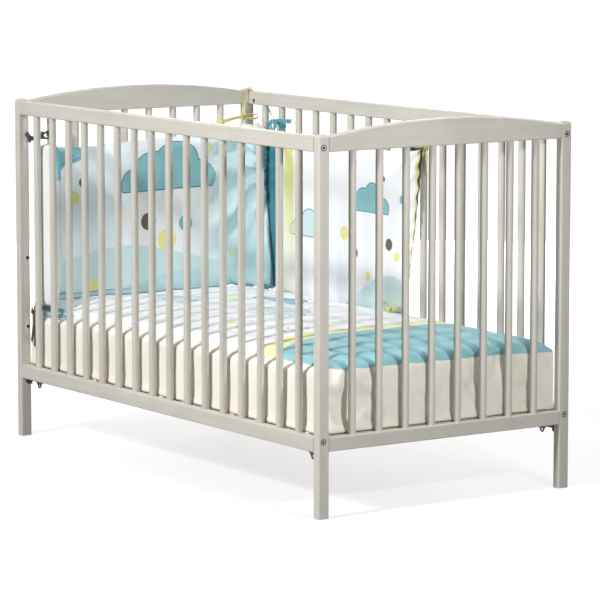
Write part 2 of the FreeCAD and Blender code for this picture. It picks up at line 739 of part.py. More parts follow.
save("side_rail_dowels", side_dowels())
save("end_rail_dowels", end_dowels())
save("side_bolts", in_four_corners(side_bolt(top_bolt_z)) + in_four_corners(side_bolt(bottom_bolt_z)))
save("barrel_nuts", in_four_corners(barrel_nut(top_bolt_z)) + in_four_corners(barrel_nut(bottom_bolt_z)))
save("base_height_inserts", [sleeve for z in base_hole_z for sleeve in in_four_corners(threaded_insert(z))])
save("base_brackets", in_four_corners(base_bracket()))
save("bracket_bolts", in_four_corners(bracket_bolt()))

deck_screws = slat_screws()
corner_screws = base_frame_screws()
back_member, foot_member = bored_for([base_side_member(), base_end_member()], deck_screws + corner_screws)
save("base_back_member", [back_member])
save("base_front_member", [mirror(back_member, Y_AXIS)])
save("base_foot_member", [foot_member])
save("base_head_member", [mirror(foot_member, X_AXIS)])
save("base_slats", bored_for(slats(), deck_screws))
save("slat_screws", deck_screws)
save("base_frame_screws", corner_screws)

save("mattress_foam", [bed_block(-cover_thickness)])
save("mattress_cover", [bed_block(0).cut(bed_block(-cover_thickness))])
save("fitted_sheet", [fitted_sheet()])

save("head_bumper_wadding", [head_pad(pad_cover_thickness)])
save("head_bumper_cover", [head_pad(0).cut(head_pad(pad_cover_thickness))])
save("back_bumper_wadding", [back_pad(pad_cover_thickness)])
save("back_bumper_cover", [back_pad(0).cut(back_pad(pad_cover_thickness))])
save("bumper_join", [bumper_join()])

save("head_front_top_tie", [head_front_top_tie()])
save("head_back_top_tie", [head_back_top_tie()])
save("join_top_tie", [join_top_tie()])
save("back_foot_top_tie", [back_foot_top_tie()])
save("head_front_hanging_tie", [head_front_hanging_tie()])
save("front_lying_bow", [front_lying_bow()])
save("join_lying_bow", [join_lying_bow()])
save("back_lying_bow", [back_lying_bow()])
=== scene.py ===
# Baby crib: lacquered frame and bars, a base that bolts in at three heights, a mattress in a
# printed fitted sheet, and a padded bumper tied to the bars with ribbons.
# Metres, but millimetres in the ribbons' table; +X is the foot end, -Y the front long side, +Z up.
import math

import bmesh
import bpy
import numpy as np
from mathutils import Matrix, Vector, noise


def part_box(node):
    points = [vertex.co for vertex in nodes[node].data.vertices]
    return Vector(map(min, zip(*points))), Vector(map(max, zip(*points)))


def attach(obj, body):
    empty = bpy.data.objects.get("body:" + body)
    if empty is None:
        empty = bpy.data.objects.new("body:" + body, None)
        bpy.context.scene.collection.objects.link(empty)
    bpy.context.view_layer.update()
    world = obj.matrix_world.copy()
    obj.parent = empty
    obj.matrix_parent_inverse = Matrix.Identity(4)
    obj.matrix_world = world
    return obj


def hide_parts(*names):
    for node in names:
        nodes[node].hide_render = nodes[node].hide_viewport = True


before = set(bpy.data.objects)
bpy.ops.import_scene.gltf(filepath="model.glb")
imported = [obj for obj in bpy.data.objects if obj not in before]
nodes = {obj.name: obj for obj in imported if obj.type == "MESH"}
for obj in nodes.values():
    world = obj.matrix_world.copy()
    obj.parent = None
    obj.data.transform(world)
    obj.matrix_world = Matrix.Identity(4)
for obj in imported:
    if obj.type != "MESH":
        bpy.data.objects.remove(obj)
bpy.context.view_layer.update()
scene = bpy.context.scene

# ---- sizes ----------------------------------------------------------------------------------
SHEET_LOW, SHEET_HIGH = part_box("fitted_sheet")
HEAD_LOW, HEAD_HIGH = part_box("head_bumper_cover")
BACK_LOW, BACK_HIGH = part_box("back_bumper_cover")
SHEET_CLOTH = 0.0009          # thickness
SHEET_CORNER = 0.007          # upright corners of the dressed mattress
SHEET_EDGE = 0.027            # its rounded top edge
SHEET_FOOT_EDGE = 0.006       # its bottom edge
SHEET_TURN_UNDER = 0.070
SHEET_NET = 0.0066            # cell of the cloth's net
CROWN = 0.014                 # rise of the mattress top to its middle
EDGE_TOP = 0.3135             # mattress top beside the rounded edge
PLEAT = 0.0668                # spacing of the pleats across the foot end
PINCH = 0.296                 # height under the seam where they are pinched
KNOT_DENT = (-0.580, 0.290)   # x and height where the hanging knot dents the front wall
HEM_DROP = 0.0014             # how far the hem hangs past the slats' ends
CORE_INSET = 0.0075           # mattress inside its sheet, at the sides
CORE_INSET_UP = 0.0022        # and at its top and bottom
CORE_CORNER = 0.010
CORE_EDGE = 0.022
CORE_FOOT_EDGE = 0.012
CORE_NET = 0.011
PAD_NET = 0.0055
PAD_START = 0.021             # pad thickness before it swells
PAD_TRIM = 0.004              # its block inside its cover's box, at top and bottom
PAD_EDGE = 0.008              # its block's softened edges
PAD_PUFF = 0.009              # the most that a point moves as the pad swells
PAD_GROWTH = 0.02             # how much the cloth stretches then
PAD_FRAMES = 20               # how long it swells
PAD_FULL = 0.0035             # what a full pad gains at each end
PAD_REACH = 0.0014            # how far it may pass the outer face it was drawn with
ARC_STEP = 0.006              # between the points of a bend in a pad's plan
REST_STEPS = 34               # places along a pad where its foot is let down
REST_GAP = 0.0006             # how far it stays above the sheet
JOIN_CLOTH = 0.0016
JOIN_HEAD_SIDE = -0.499       # where the strip between the pads starts
JOIN_WIDE = 0.078
JOIN_FOOT = 0.318
JOIN_TALL = 0.366
JOIN_RAISED = 0.010           # its top corner beside the head pad
JOIN_FACE = 0.2965            # its middle, and the furthest it reaches towards the back bars
JOIN_BACK = 0.3025
RIBBON_WIDE = 0.010
RIBBON_THICK = 0.0008
RIBBON_CUP = 0.0005           # its middle stands out from its edges
RIBBON_SLANT = 0.0018         # its ends are cut slantwise
WRAP_RADIUS = 9.3             # a ribbon round a bar: millimetres, as in the ribbons' table
WRAP_CLIMB = 5                # how much higher it ends, in millimetres too
WRAP_STEPS = 9
BOLT_HEAD = 0.00625           # radius of a side bolt's head


# ---- small jobs -----------------------------------------------------------------------------
def only(piece):
    """Selects one piece and nothing else."""
    bpy.ops.object.select_all(action="DESELECT")
    piece.select_set(True)
    bpy.context.view_layer.objects.active = piece


def placed(name, data):
    """A new piece in the scene."""
    piece = bpy.data.objects.new(name, data)
    scene.collection.objects.link(piece)
    return piece


def basic(shape, name, **settings):
    """A piece made from a basic shape."""
    bpy.ops.object.select_all(action="DESELECT")
    shape(**settings)
    piece = bpy.context.object
    piece.name = name
    return piece


def apply_all(piece):
    """Applies every modifier, in order."""
    only(piece)
    for name in [m.name for m in piece.modifiers]:
        bpy.ops.object.modifier_apply(modifier=name)


def coat(piece, material):
    piece.data.materials.clear()
    piece.data.materials.append(material)


def triples(collection, key):
    """The three numbers that each item holds under key, as rows."""
    found = np.empty(len(collection) * 3)
    collection.foreach_get(key, found)
    return found.reshape(-1, 3)


def points(piece):
    return triples(piece.data.vertices, "co")


def normals(piece):
    return triples(piece.data.vertices, "normal")


def put_points(piece, co):
    piece.data.vertices.foreach_set("co", np.ascontiguousarray(co).ravel())
    piece.data.update()


def keep_on_cloth(piece, name, values):
    """Stores a number or a place per point, which the material reads."""
    values = np.asarray(values, float)
    kind, key = ("FLOAT", "value") if values.ndim == 1 else ("FLOAT_VECTOR", "vector")
    attribute = piece.data.attributes.new(name, kind, "POINT")
    attribute.data.foreach_set(key, np.ascontiguousarray(values).ravel())


def thicken(piece, thickness, offset=0):
    """Gives a sheet of cloth its thickness: about its middle, or inwards from it with offset -1."""
    cloth = piece.modifiers.new("cloth", "SOLIDIFY")
    cloth.thickness, cloth.offset = thickness, offset
    apply_all(piece)


def even_net(piece, cell):
    """Remeshes a piece as an even net, with whatever modifiers come before."""
    net = piece.modifiers.new("net", "REMESH")
    net.mode, net.voxel_size, net.use_smooth_shade = "VOXEL", cell, True
    apply_all(piece)


def ease(value, start, end):
    """0 before start, 1 after end, smooth between."""
    t = np.clip((value - start) / (end - start), 0, 1)
    return t * t * (3 - 2 * t)


def drawn(value, *knots):
    """The height at value of a line through (place, height) knots."""
    return np.interp(value, *zip(*knots))


def unit(rows):
    """Each row as a direction of length 1."""
    return rows / np.linalg.norm(rows, axis=1)[:, None]


def stacked(*columns):
    return np.stack(np.broadcast_arrays(*columns), axis=1)


def rumple(x, y, z=0.0, seed=0.0):
    """Smooth noise from -1 to 1 at each place."""
    return np.array([noise.noise((a + seed, b - seed, c + 2 * seed)) for a, b, c in stacked(x, y, z)])


def ripple(value, spacing, shift=0.0):
    """A sine with one crest to each spacing."""
    return np.sin(2 * math.pi * value / spacing + shift)


# ---- materials ------------------------------------------------------------------------------
def paint(red, green, blue):
    """A colour from its 0 to 255 paint-card numbers."""
    return tuple(((c / 255 + 0.055) / 1.055) ** 2.4 if c > 10 else c / 3294.6 for c in (red, green, blue))


class Recipe:
    """The nodes of one material, with the colour and the relief built up so far."""

    def __init__(self, name, colour=None):
        self.material = bpy.data.materials.new(name)
        self.material.use_nodes = True
        self.nodes, self.links = self.material.node_tree.nodes, self.material.node_tree.links
        self.nodes.clear()
        self.shader = self.nodes.new("ShaderNodeBsdfPrincipled")
        self.output = self.nodes.new("ShaderNodeOutputMaterial")
        self.links.new(self.shader.outputs[0], self.output.inputs[0])
        self.place = self.add("TexCoord", {}, "Object")
        self.colour, self.relief = colour, None

    def feed(self, socket, value):
        if isinstance(value, bpy.types.NodeSocket):
            self.links.new(value, socket)
        elif socket.type == "RGBA":
            socket.default_value = (*value, 1)
        else:
            socket.default_value = value

    def add(self, kind, feeds, gives=0, **settings):
        node = self.nodes.new("ShaderNode" + kind)
        for key, value in settings.items():
            setattr(node, key, value)
        for key, value in feeds.items():
            self.feed(node.inputs[key], value)
        return node.outputs[gives]

    def maths(self, operation, *values):
        return self.add("Math", dict(enumerate(values)), operation=operation)

    def plus(self, a, b):
        return self.maths("ADD", a, b)

    def less(self, a, b):
        return self.maths("SUBTRACT", a, b)

    def both(self, a, b):
        return self.maths("MULTIPLY", a, b)

    def away_from(self, value, place):
        return self.maths("ABSOLUTE", self.less(value, place))

    def wave(self, value, turns, shift, swing, level=0.0):
        """A sine line about level."""
        sine = self.maths("SINE", self.maths("MULTIPLY_ADD", value, turns, shift))
        return self.maths("MULTIPLY_ADD", sine, swing, level)

    def split(self, vector):
        node = self.nodes.new("ShaderNodeSeparateXYZ")
        self.feed(node.inputs[0], vector)
        return node.outputs[:3]

    def scaled(self, vector, scale):
        return self.add("Mapping", {"Vector": vector, "Scale": scale})

    def noise(self, vector, scale, detail=2.0, roughness=0.5):
        feeds = {"Vector": vector, "Scale": scale, "Detail": detail, "Roughness": roughness}
        return self.add("TexNoise", feeds)

    def grain(self, scales, detail, roughness=0.5):
        """Noise drawn out along the piece's own directions."""
        return self.noise(self.scaled(self.place, scales), 1.0, detail, roughness)

    def spread(self, value, low, high, to_low=0, to_high=1):
        feeds = {0: value, 1: low, 2: high, 3: to_low, 4: to_high}
        return self.add("MapRange", feeds)

    def over(self, below, above, amount, how="MIX"):
        feeds = {0: amount, 6: below, 7: above}
        return self.add("Mix", feeds, 2, data_type="RGBA", blend_type=how)

    def patches(self, below, above, vector, scale, detail, low, high, most=1):
        """A colour with soft patches of another."""
        return self.over(below, above, self.spread(self.noise(vector, scale, detail), low, high, 0, most))

    def lay(self, above, amount, how="MIX"):
        """Lays another colour over the colour so far."""
        self.colour = self.over(self.colour, above, amount, how)

    def tint(self, above, value, *limits):
        """Lays another colour where a value passes its limits."""
        self.lay(above, self.spread(value, *limits))

    def bump(self, height, distance, strength):
        """Adds to the relief so far."""
        feeds = {"Height": height, "Distance": distance, "Strength": strength}
        if self.relief:
            feeds["Normal"] = self.relief
        self.relief = self.add("Bump", feeds)

    # printed figures: each is a distance, below zero inside the figure
    def lay_out(self, along, height):
        """Sets the flat place on the cloth that figures are printed by."""
        self.along, self.height = along, height
        self.flat = self.add("CombineXYZ", {0: along, 1: height, 2: 0.0})

    def disc(self, x, y, radius):
        away = self.add("VectorMath", {0: self.flat, 1: (x, y, 0)}, "Value", operation="DISTANCE")
        return self.less(away, radius)

    def discs(self, *rows):
        """Several discs as one figure."""
        found = self.disc(*rows[0])
        for row in rows[1:]:
            found = self.maths("MINIMUM", found, self.disc(*row))
        return found

    def cloud(self, x, y, size):
        puffs = ((-0.62, -0.02, 0.24), (-0.28, 0.14, 0.34), (0.16, 0.22, 0.42), (0.58, 0.0, 0.27))
        figure = self.discs(*((x + size * a, y + size * b, size * r) for a, b, r in puffs))
        base = self.less(y - 0.13 * size, self.height)
        return self.maths("MAXIMUM", figure, base)

    def hill(self, top, swing, turns, shift):
        return self.less(self.height, self.wave(self.along, turns, shift, swing, top))

    def inside(self, figure, soft=0.0007):
        return self.spread(figure, -soft, soft, 1.0, 0.0)

    def line(self, figure, width):
        return self.inside(self.less(self.maths("ABSOLUTE", figure), width / 2))

    def run(self, value, middle, half, soft=0.0007):
        """1 within half of the middle."""
        return self.inside(self.less(self.away_from(value, middle), half), soft)

    def stamp(self, ink, figure, soft=0.0007):
        """Prints a figure on the colour so far."""
        self.lay(ink, self.inside(figure, soft))

    def dots(self, *rows):
        """Prints discs one after another, each an (x, y, radius, ink)."""
        for *spot, ink in rows:
            self.stamp(ink, self.disc(*spot))

    def clouds(self, edge, *rows):
        """Prints clouds with an edge line of that width, each an (x, y, size, ink)."""
        for *spot, ink in rows:
            puff = self.cloud(*spot)
            self.stamp(ink, puff)
            self.lay(DEEP_TEAL, self.line(puff, edge))

    def weave(self, across, up, pitch):
        """Height of a plain weave, from two directions on the cloth."""
        turns = 2 * math.pi / pitch
        over, under = (self.maths("SINE", self.both(way, turns)) for way in (across, up))
        return self.both(over, under)

    def finish(self, roughness, **sockets):
        sockets = {"Base_Color": self.colour, "Roughness": roughness, "Normal": self.relief, **sockets}
        for name, value in sockets.items():
            if value is not None:
                self.feed(self.shader.inputs[name.replace("_", " ")], value)
        return self.material


def grain_along(axis, across_scale, along_scale):
    """Noise scales for grain that follows one axis."""
    return [along_scale if axis == each else across_scale for each in "XYZ"]


def lacquered_wood(name, along):
    """Taupe satin lacquer over close-grained wood; along is the axis the grain follows."""
    wood = Recipe(name, paint(201, 197, 187))
    grain = wood.grain(grain_along(along, 70.0, 2.6), 3.0, 0.55)
    pores = wood.grain(grain_along(along, 420.0, 22.0), 1.0)
    cloudy = wood.noise(wood.place, 6.5, 2.0, 0.6)
    wood.tint(paint(212, 208, 200), grain, 0.3, 0.7)
    wood.tint(paint(196, 190, 181), cloudy, 0.46, 0.7, 0, 0.55)
    wood.tint(paint(184, 178, 168), pores, 0.62, 0.8, 0, 0.35)
    wood.bump(grain, 0.0004, 0.35)
    wood.bump(pores, 0.0001, 0.3)
    return wood.finish(wood.spread(cloudy, 0.3, 0.7, 0.50, 0.60), Specular_IOR_Level=0.22)


def bare_wood():
    """Sawn pale softwood of the base."""
    wood = Recipe("bare_softwood", paint(222, 195, 152))
    grain = wood.grain((14.0, 14.0, 90.0), 3.0, 0.55)
    ring_feeds = {"Vector": wood.scaled(wood.place, (1.0, 3.0, 3.0)), "Scale": 9.0,
                  "Distortion": 5.0, "Detail": 2.0, "Detail Scale": 1.2}
    rings = wood.add("TexWave", ring_feeds, 1, bands_direction="Y")
    knots = wood.add("TexVoronoi", {"Vector": wood.scaled(wood.place, (2.2, 7.0, 7.0)), "Scale": 1.0})
    wood.tint(paint(203, 170, 122), rings, 0.35, 0.95, 0, 0.75)
    wood.tint(paint(231, 208, 170), grain, 0.45, 0.75, 0, 0.6)
    wood.tint(paint(150, 106, 66), knots, 0.05, 0.11, 0.8, 0.0)
    rough = wood.spread(grain, 0.3, 0.7, 0.55, 0.72)
    wood.bump(grain, 0.0006, 0.4)
    return wood.finish(rough)


def brushed_finish(steel, smoothest, roughest, metallic):
    brushed = steel.grain((300.0, 300.0, 900.0), 2.0)
    rough = steel.spread(brushed, 0.3, 0.7, smoothest, roughest)
    steel.bump(brushed, 0.00008, 0.3)
    return steel.finish(rough, Metallic=metallic)


def plated_steel(name, colour, rough):
    steel = Recipe(name, colour)
    spots = steel.noise(steel.place, 130.0, 3.0, 0.6)
    steel.tint(tuple(c * 0.62 for c in colour), spots, 0.45, 0.75, 0, 0.7)
    return brushed_finish(steel, rough - 0.07, rough + 0.08, 1.0)


def button_head_steel():
    """Zinc button heads at the ends of the side rails: a dark socket painted as the shade of its recess, a
    light ring that is a painted highlight, and a dark rim that is painted shade of the gap round the head.
    """
    steel = Recipe("button_head_steel", paint(30, 31, 34))
    low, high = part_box("side_bolts")                  # two heads one above the other, at both long sides
    _, y, z = steel.split(steel.place)
    off_y = steel.less(steel.maths("ABSOLUTE", y), high[1] - BOLT_HEAD)
    off_low, off_high = steel.away_from(z, low[2] + BOLT_HEAD), steel.away_from(z, high[2] - BOLT_HEAD)
    off_z = steel.maths("MINIMUM", off_low, off_high)
    away = steel.maths("SQRT", steel.plus(steel.both(off_y, off_y), steel.both(off_z, off_z)))
    # painted light: the socket stays dark as painted shade, the light ring past it is a painted highlight,
    # and the dark rim is painted shade of the gap round the head
    painted_highlight_edge = steel.spread(away, 0.45 * BOLT_HEAD, 0.50 * BOLT_HEAD)
    painted_rim_shade_edge = steel.spread(away, 0.72 * BOLT_HEAD, 0.80 * BOLT_HEAD)
    steel.lay(paint(186, 187, 190), painted_highlight_edge)
    steel.lay(paint(44, 44, 47), painted_rim_shade_edge)
    return brushed_finish(steel, 0.30, 0.45, 0.4)


AQUA = paint(139, 190, 198)
DEEP_TEAL = paint(52, 128, 143)
PALE_AQUA = paint(205, 229, 231)
YELLOW = paint(236, 230, 152)
SHEET_YELLOW = paint(242, 237, 184)
LIME = paint(214, 213, 116)
TAUPE_INK = paint(112, 98, 88)
INK_LINE = paint(98, 104, 108)
WHITE_COTTON = paint(243, 245, 247)
CREAM_COTTON = paint(245, 241, 230)
LINING = paint(238, 240, 240)
COTTON_SHEEN = {"Sheen_Weight": 0.12, "Sheen_Roughness": 0.5, "Specular_IOR_Level": 0.25}


def sheet_cotton():
    """White printed top, cream sides; the seam between them is where above_seam is zero."""
    cotton = Recipe("sheet_cotton", WHITE_COTTON)
    x, y, z = cotton.split(cotton.place)
    cotton.lay_out(x, y)
    # an aqua field over the foot, its edge slanted and swept back at the front, and a yellow band along it
    slant = cotton.maths("MULTIPLY_ADD", y, -0.10, 0.300)
    swept = cotton.maths("POWER", cotton.maths("MAXIMUM", cotton.less(-0.08, y), 0.0), 1.6)
    start = cotton.plus(slant, cotton.plus(cotton.wave(y, 9.0, 0.5, 0.012), cotton.both(swept, 1.05)))
    past = cotton.less(start, x)                      # below zero in the aqua field
    band = cotton.less(past, cotton.spread(y, -0.30, 0.10, 0.070, 0.042))
    field = cotton.patches(AQUA, paint(152, 201, 208), cotton.flat, 7.0, 2.0, 0.4, 0.7, 0.8)
    cotton.stamp(SHEET_YELLOW, band, 0.002)
    cotton.stamp(field, past)
    # a thin wave, rows of dots and clouds on the white
    thin_wave = cotton.line(cotton.less(x, cotton.wave(y, 62.0, 0.0, 0.009, 0.165)), 0.0032)
    cotton.lay(INK_LINE, cotton.both(thin_wave, cotton.run(y, 0.07, 0.10)))
    cotton.stamp(TAUPE_INK, cotton.discs(
        (0.205, -0.13, 0.006), (0.232, -0.163, 0.0045), (0.178, -0.10, 0.0045), (0.212, -0.075, 0.005),
        (0.05, -0.19, 0.006), (0.075, -0.165, 0.004), (-0.05, 0.15, 0.007)))
    cotton.stamp(YELLOW, cotton.discs((0.02, -0.15, 0.017), (-0.30, 0.06, 0.020), (-0.12, -0.16, 0.012)))
    cotton.clouds(0.0022, (-0.21, 0.13, 0.10, AQUA), (-0.40, -0.05, 0.12, PALE_AQUA),
                  (-0.05, 0.02, 0.11, PALE_AQUA))
    above = cotton.add("Attribute", {}, "Fac", attribute_name="above_seam")
    sides = cotton.patches(CREAM_COTTON, paint(238, 233, 218), cotton.place, 14.0, 3.0, 0.45, 0.75, 0.6)
    cotton.colour = cotton.over(sides, cotton.colour, cotton.spread(above, -0.0006, 0.0006))
    seam = cotton.line(above, 0.0026)
    cotton.lay(paint(205, 200, 184), cotton.both(seam, 0.3))
    threads = cotton.weave(cotton.plus(x, y), cotton.less(cotton.less(x, y), z), 0.0016)
    cotton.bump(threads, 0.00012, 0.35)
    cotton.bump(cotton.noise(cotton.place, 38.0, 3.0, 0.55), 0.0026, 0.42)
    cotton.bump(cotton.less(1.0, seam), 0.0010, 0.4)
    return cotton.finish(0.86, **COTTON_SHEEN)


def pad_base(name, shade, ground):
    """What the two printed pads share: the cloth's own place, and the ground of the print."""
    cotton = Recipe(name)
    where = cotton.add("Attribute", {}, "Vector", attribute_name="cloth_place")
    along, height, side = cotton.split(where)
    cotton.lay_out(along, height)
    cotton.colour = cotton.patches(shade, ground, cotton.flat, 4.0, 2.0, 0.4, 0.65)
    return cotton, along, height, side


def pad_finish(cotton, side, lining, seam_shows=0.6):
    """Print on the bed's side of the seam, lining on the other; weave and fine creases."""
    cotton.colour = cotton.over(lining, cotton.colour, cotton.spread(side, -0.0008, 0.0008))
    seam = cotton.line(side, 0.0022)
    cotton.lay((0.70, 0.74, 0.76), cotton.both(seam, seam_shows), "MULTIPLY")
    cotton.bump(cotton.weave(cotton.along, cotton.height, 0.0016), 0.00012, 0.35)
    cotton.bump(cotton.noise(cotton.place, 42.0, 3.0, 0.55), 0.0018, 0.25)
    return cotton.finish(0.85, **COTTON_SHEEN)


def head_pad_cotton():
    """Pale ground, low hills, a cloud with hanging discs; deeper aqua towards the back corner, partly print
    and partly painted shade of the folds there.
    """
    cotton, along, height, side = pad_base("head_pad_cotton", paint(230, 242, 246), paint(249, 251, 253))
    corner = cotton.discs((-0.285, 0.69, 0.085), (-0.225, 0.705, 0.072), (-0.305, 0.625, 0.066))
    cotton.stamp(AQUA, corner)
    cotton.lay(DEEP_TEAL, cotton.line(cotton.plus(corner, 0.008), 0.0016))
    cotton.stamp(paint(243, 245, 246), cotton.disc(0.055, 0.515, 0.128), 0.003)
    far_hill, near_hill = cotton.hill(0.405, 0.028, 9.0, 2.2), cotton.hill(0.352, 0.022, 13.0, 0.3)
    cotton.stamp(paint(207, 229, 231), far_hill, 0.001)
    cotton.stamp(paint(192, 221, 225), near_hill, 0.001)
    for x, drop in ((0.000, 0.500), (0.052, 0.455), (0.104, 0.490)):
        thread = cotton.line(cotton.less(along, x), 0.0018)
        above, below = cotton.inside(cotton.less(drop, height)), cotton.inside(cotton.less(height, 0.57))
        cotton.lay(INK_LINE, cotton.both(thread, cotton.both(above, below)))
    cotton.dots(
        (0.000, 0.485, 0.020, TAUPE_INK), (0.052, 0.440, 0.026, YELLOW), (0.104, 0.475, 0.018, AQUA),
        (-0.150, 0.347, 0.019, YELLOW), (0.238, 0.402, 0.013, YELLOW), (-0.205, 0.555, 0.016, YELLOW),
        (-0.178, 0.590, 0.012, TAUPE_INK), (0.165, 0.640, 0.015, YELLOW))
    cotton.clouds(0.0026, (0.055, 0.575, 0.150, AQUA))
    thin_wave = cotton.line(cotton.hill(0.340, 0.004, 105.0, 0.0), 0.0018)
    cotton.lay(INK_LINE, cotton.both(thin_wave, cotton.run(along, -0.215, 0.048)))
    # the plain cloth round the print: deeper aqua towards the back corner, partly print and partly painted
    # shade of the folds there; deep end, hem, raised corner, and the front wing's end
    cotton.tint(paint(176, 210, 214), along, 0.14, 0.25, 0, 0.75)
    slanted = cotton.less(along, cotton.spread(height, 0.40, 0.60, 0.056, 0.0))
    cotton.tint(DEEP_TEAL, slanted, 0.325, 0.345)
    above_hem, front_part = cotton.less(height, 0.338), cotton.spread(along, -0.02, -0.08)
    cotton.lay(paint(196, 226, 231), cotton.both(cotton.inside(above_hem), front_part))
    cotton.lay(DEEP_TEAL, cotton.both(cotton.line(above_hem, 0.0018), front_part))
    raised_corner = cotton.both(cotton.spread(height, 0.664, 0.672), cotton.spread(along, 0.20, 0.24))
    cotton.lay(paint(226, 226, 219), raised_corner)
    end_tone = cotton.over(paint(226, 232, 232), paint(120, 190, 202), cotton.spread(height, 0.596, 0.600))
    cotton.tint(end_tone, along, -0.276, -0.280)
    lining = cotton.over(LINING, DEEP_TEAL, cotton.spread(slanted, 0.322, 0.332))
    return pad_finish(cotton, side, lining, cotton.spread(along, 0.322, 0.332, 0.6, 0))


def back_pad_cotton():
    """Aqua edge, lime stripe, white ground, one hill and a few clouds and discs."""
    cotton, along, height, side = pad_base("back_pad_cotton", paint(245, 246, 251), paint(251, 251, 252))
    cotton.stamp(paint(212, 233, 234), cotton.hill(0.352, 0.052, 11.0, 1.25), 0.001)
    cotton.clouds(0.0020, (-0.055, 0.545, 0.085, AQUA), (-0.300, 0.470, 0.080, PALE_AQUA))
    cotton.dots(
        (-0.150, 0.480, 0.016, YELLOW), (-0.110, 0.440, 0.011, TAUPE_INK), (0.020, 0.470, 0.013, TAUPE_INK),
        (0.052, 0.446, 0.010, YELLOW), (0.000, 0.610, 0.006, TAUPE_INK), (-0.225, 0.600, 0.012, YELLOW),
        (0.060, 0.570, 0.009, AQUA), (-0.060, 0.395, 0.010, YELLOW))
    fade = cotton.spread(height, 0.40, 0.58, 0.30, 0.88)
    cotton.lay(LIME, cotton.both(cotton.run(along, -0.372, 0.0215, 0.007), fade))
    cotton.tint(paint(150, 205, 200), along, -0.408, -0.414)
    # lime piping on the bed's side of the end; the dark olive on its lining side is painted shade, standing
    # for the lime end turned away from the lamps
    piping_and_painted_end_shade = cotton.over(paint(92, 89, 68), paint(224, 225, 170), cotton.spread(side, 0.0015, 0.0035))
    at_end = cotton.spread(along, 0.1020, 0.1040)
    lining = cotton.over(LINING, piping_and_painted_end_shade, at_end)
    cotton.lay(piping_and_painted_end_shade, at_end)
    return pad_finish(cotton, side, lining)


def plain_cotton(name, colour, shade):
    cotton = Recipe(name)
    x, y, z = cotton.split(cotton.place)
    cotton.colour = cotton.patches(colour, shade, cotton.place, 45.0, 3.0, 0.4, 0.75, 0.8)
    cotton.bump(cotton.weave(cotton.plus(x, y), z, 0.0014), 0.00012, 0.4)
    return cotton.finish(0.82, Sheen_Weight=0.15, Sheen_Roughness=0.45)


def ribbon_satin(name, colour, shade):
    """Narrow ribbon: ribbed across, a little sheen."""
    satin = Recipe(name)
    ribs = satin.grain((260.0, 260.0, 900.0), 1.0)
    satin.colour = satin.patches(colour, shade, satin.place, 95.0, 2.0, 0.42, 0.7, 0.85)
    rough = satin.spread(ribs, 0.3, 0.7, 0.42, 0.6)
    satin.bump(ribs, 0.0003, 0.4)
    return satin.finish(rough, Sheen_Weight=0.25, Sheen_Roughness=0.35)


def mattress_ticking():
    """Off-white ticking with fine grey stripes."""
    ticking = Recipe("mattress_ticking", paint(238, 236, 230))
    x, y, z = ticking.split(ticking.place)
    ticking.tint(paint(196, 204, 208), ticking.maths("PINGPONG", x, 0.006), 0.0008, 0.0016, 1, 0)
    ticking.bump(ticking.weave(ticking.plus(x, z), y, 0.0018), 0.0002, 0.4)
    ticking.bump(ticking.noise(ticking.place, 30.0, 2.0), 0.003, 0.3)
    return ticking.finish(0.88, Sheen_Weight=0.1)


# ---- studio ---------------------------------------------------------------------------------
ROOM_LIGHT = 0.10
FLOOR_WIDE = 160
FLOOR_TONE = 0.30
FLOOR_LIFT = 0.70             # how white the floor is seen near the crib; 1 is white
CAMERA_PLACE = (6.1866, -4.1371, 1.3346)
CAMERA_ABOVE = 7.46           # degrees above the horizon
CAMERA_TURN = 55.903
CAMERA_LENS = 202.87
CAMERA_FILM = 36
CAMERA_FAR = 400
# name, place, what it points at, width, spread in degrees, watts
LAMPS = (
    ("key_front", (0.60, -2.05, 1.31), (-0.05, -0.3, 0.45), 0.16, 180, 12.5),
    ("far_front", (1.0, -5.2, 4.0), (0.0, 0.0, 0.45), 0.50, 180, 248.0),
    ("key_foot", (1.95, -0.06, 1.05), (0.5, -0.45, 0.40), 0.10, 140, 8.5),
    ("overhead", (0.1, -0.2, 3.2), (0.0, 0.0, 0.30), 2.0, 180, 20.0),
    ("back_fill", (-3.5, 2.5, 0.85), (0.0, 0.0, 0.42), 2.0, 180, 130.0),
)


def make_room():
    """Soft light all round; camera, gloss and glass see a white room."""
    world = bpy.data.worlds.new("studio")
    scene.world = world
    world.use_nodes = True
    tree = world.node_tree
    tree.nodes.clear()
    room, paper, either, any_ray, mix, output, rays = (tree.nodes.new("ShaderNode" + kind) for kind in (
        "Background", "Background", "Math", "Math", "MixShader", "OutputWorld", "LightPath"))
    for background, strength in ((room, ROOM_LIGHT), (paper, 1.0)):
        background.inputs["Color"].default_value = (1, 1, 1, 1)
        background.inputs["Strength"].default_value = strength
    either.operation = any_ray.operation = "MAXIMUM"
    for start, node, socket in (
            (rays.outputs["Is Camera Ray"], either, 0), (rays.outputs["Is Glossy Ray"], either, 1),
            (either.outputs[0], any_ray, 0), (rays.outputs["Is Transmission Ray"], any_ray, 1),
            (any_ray.outputs[0], mix, 0), (room.outputs[0], mix, 1), (paper.outputs[0], mix, 2),
            (mix.outputs[0], output, 0)):
        tree.links.new(start, node.inputs[socket])


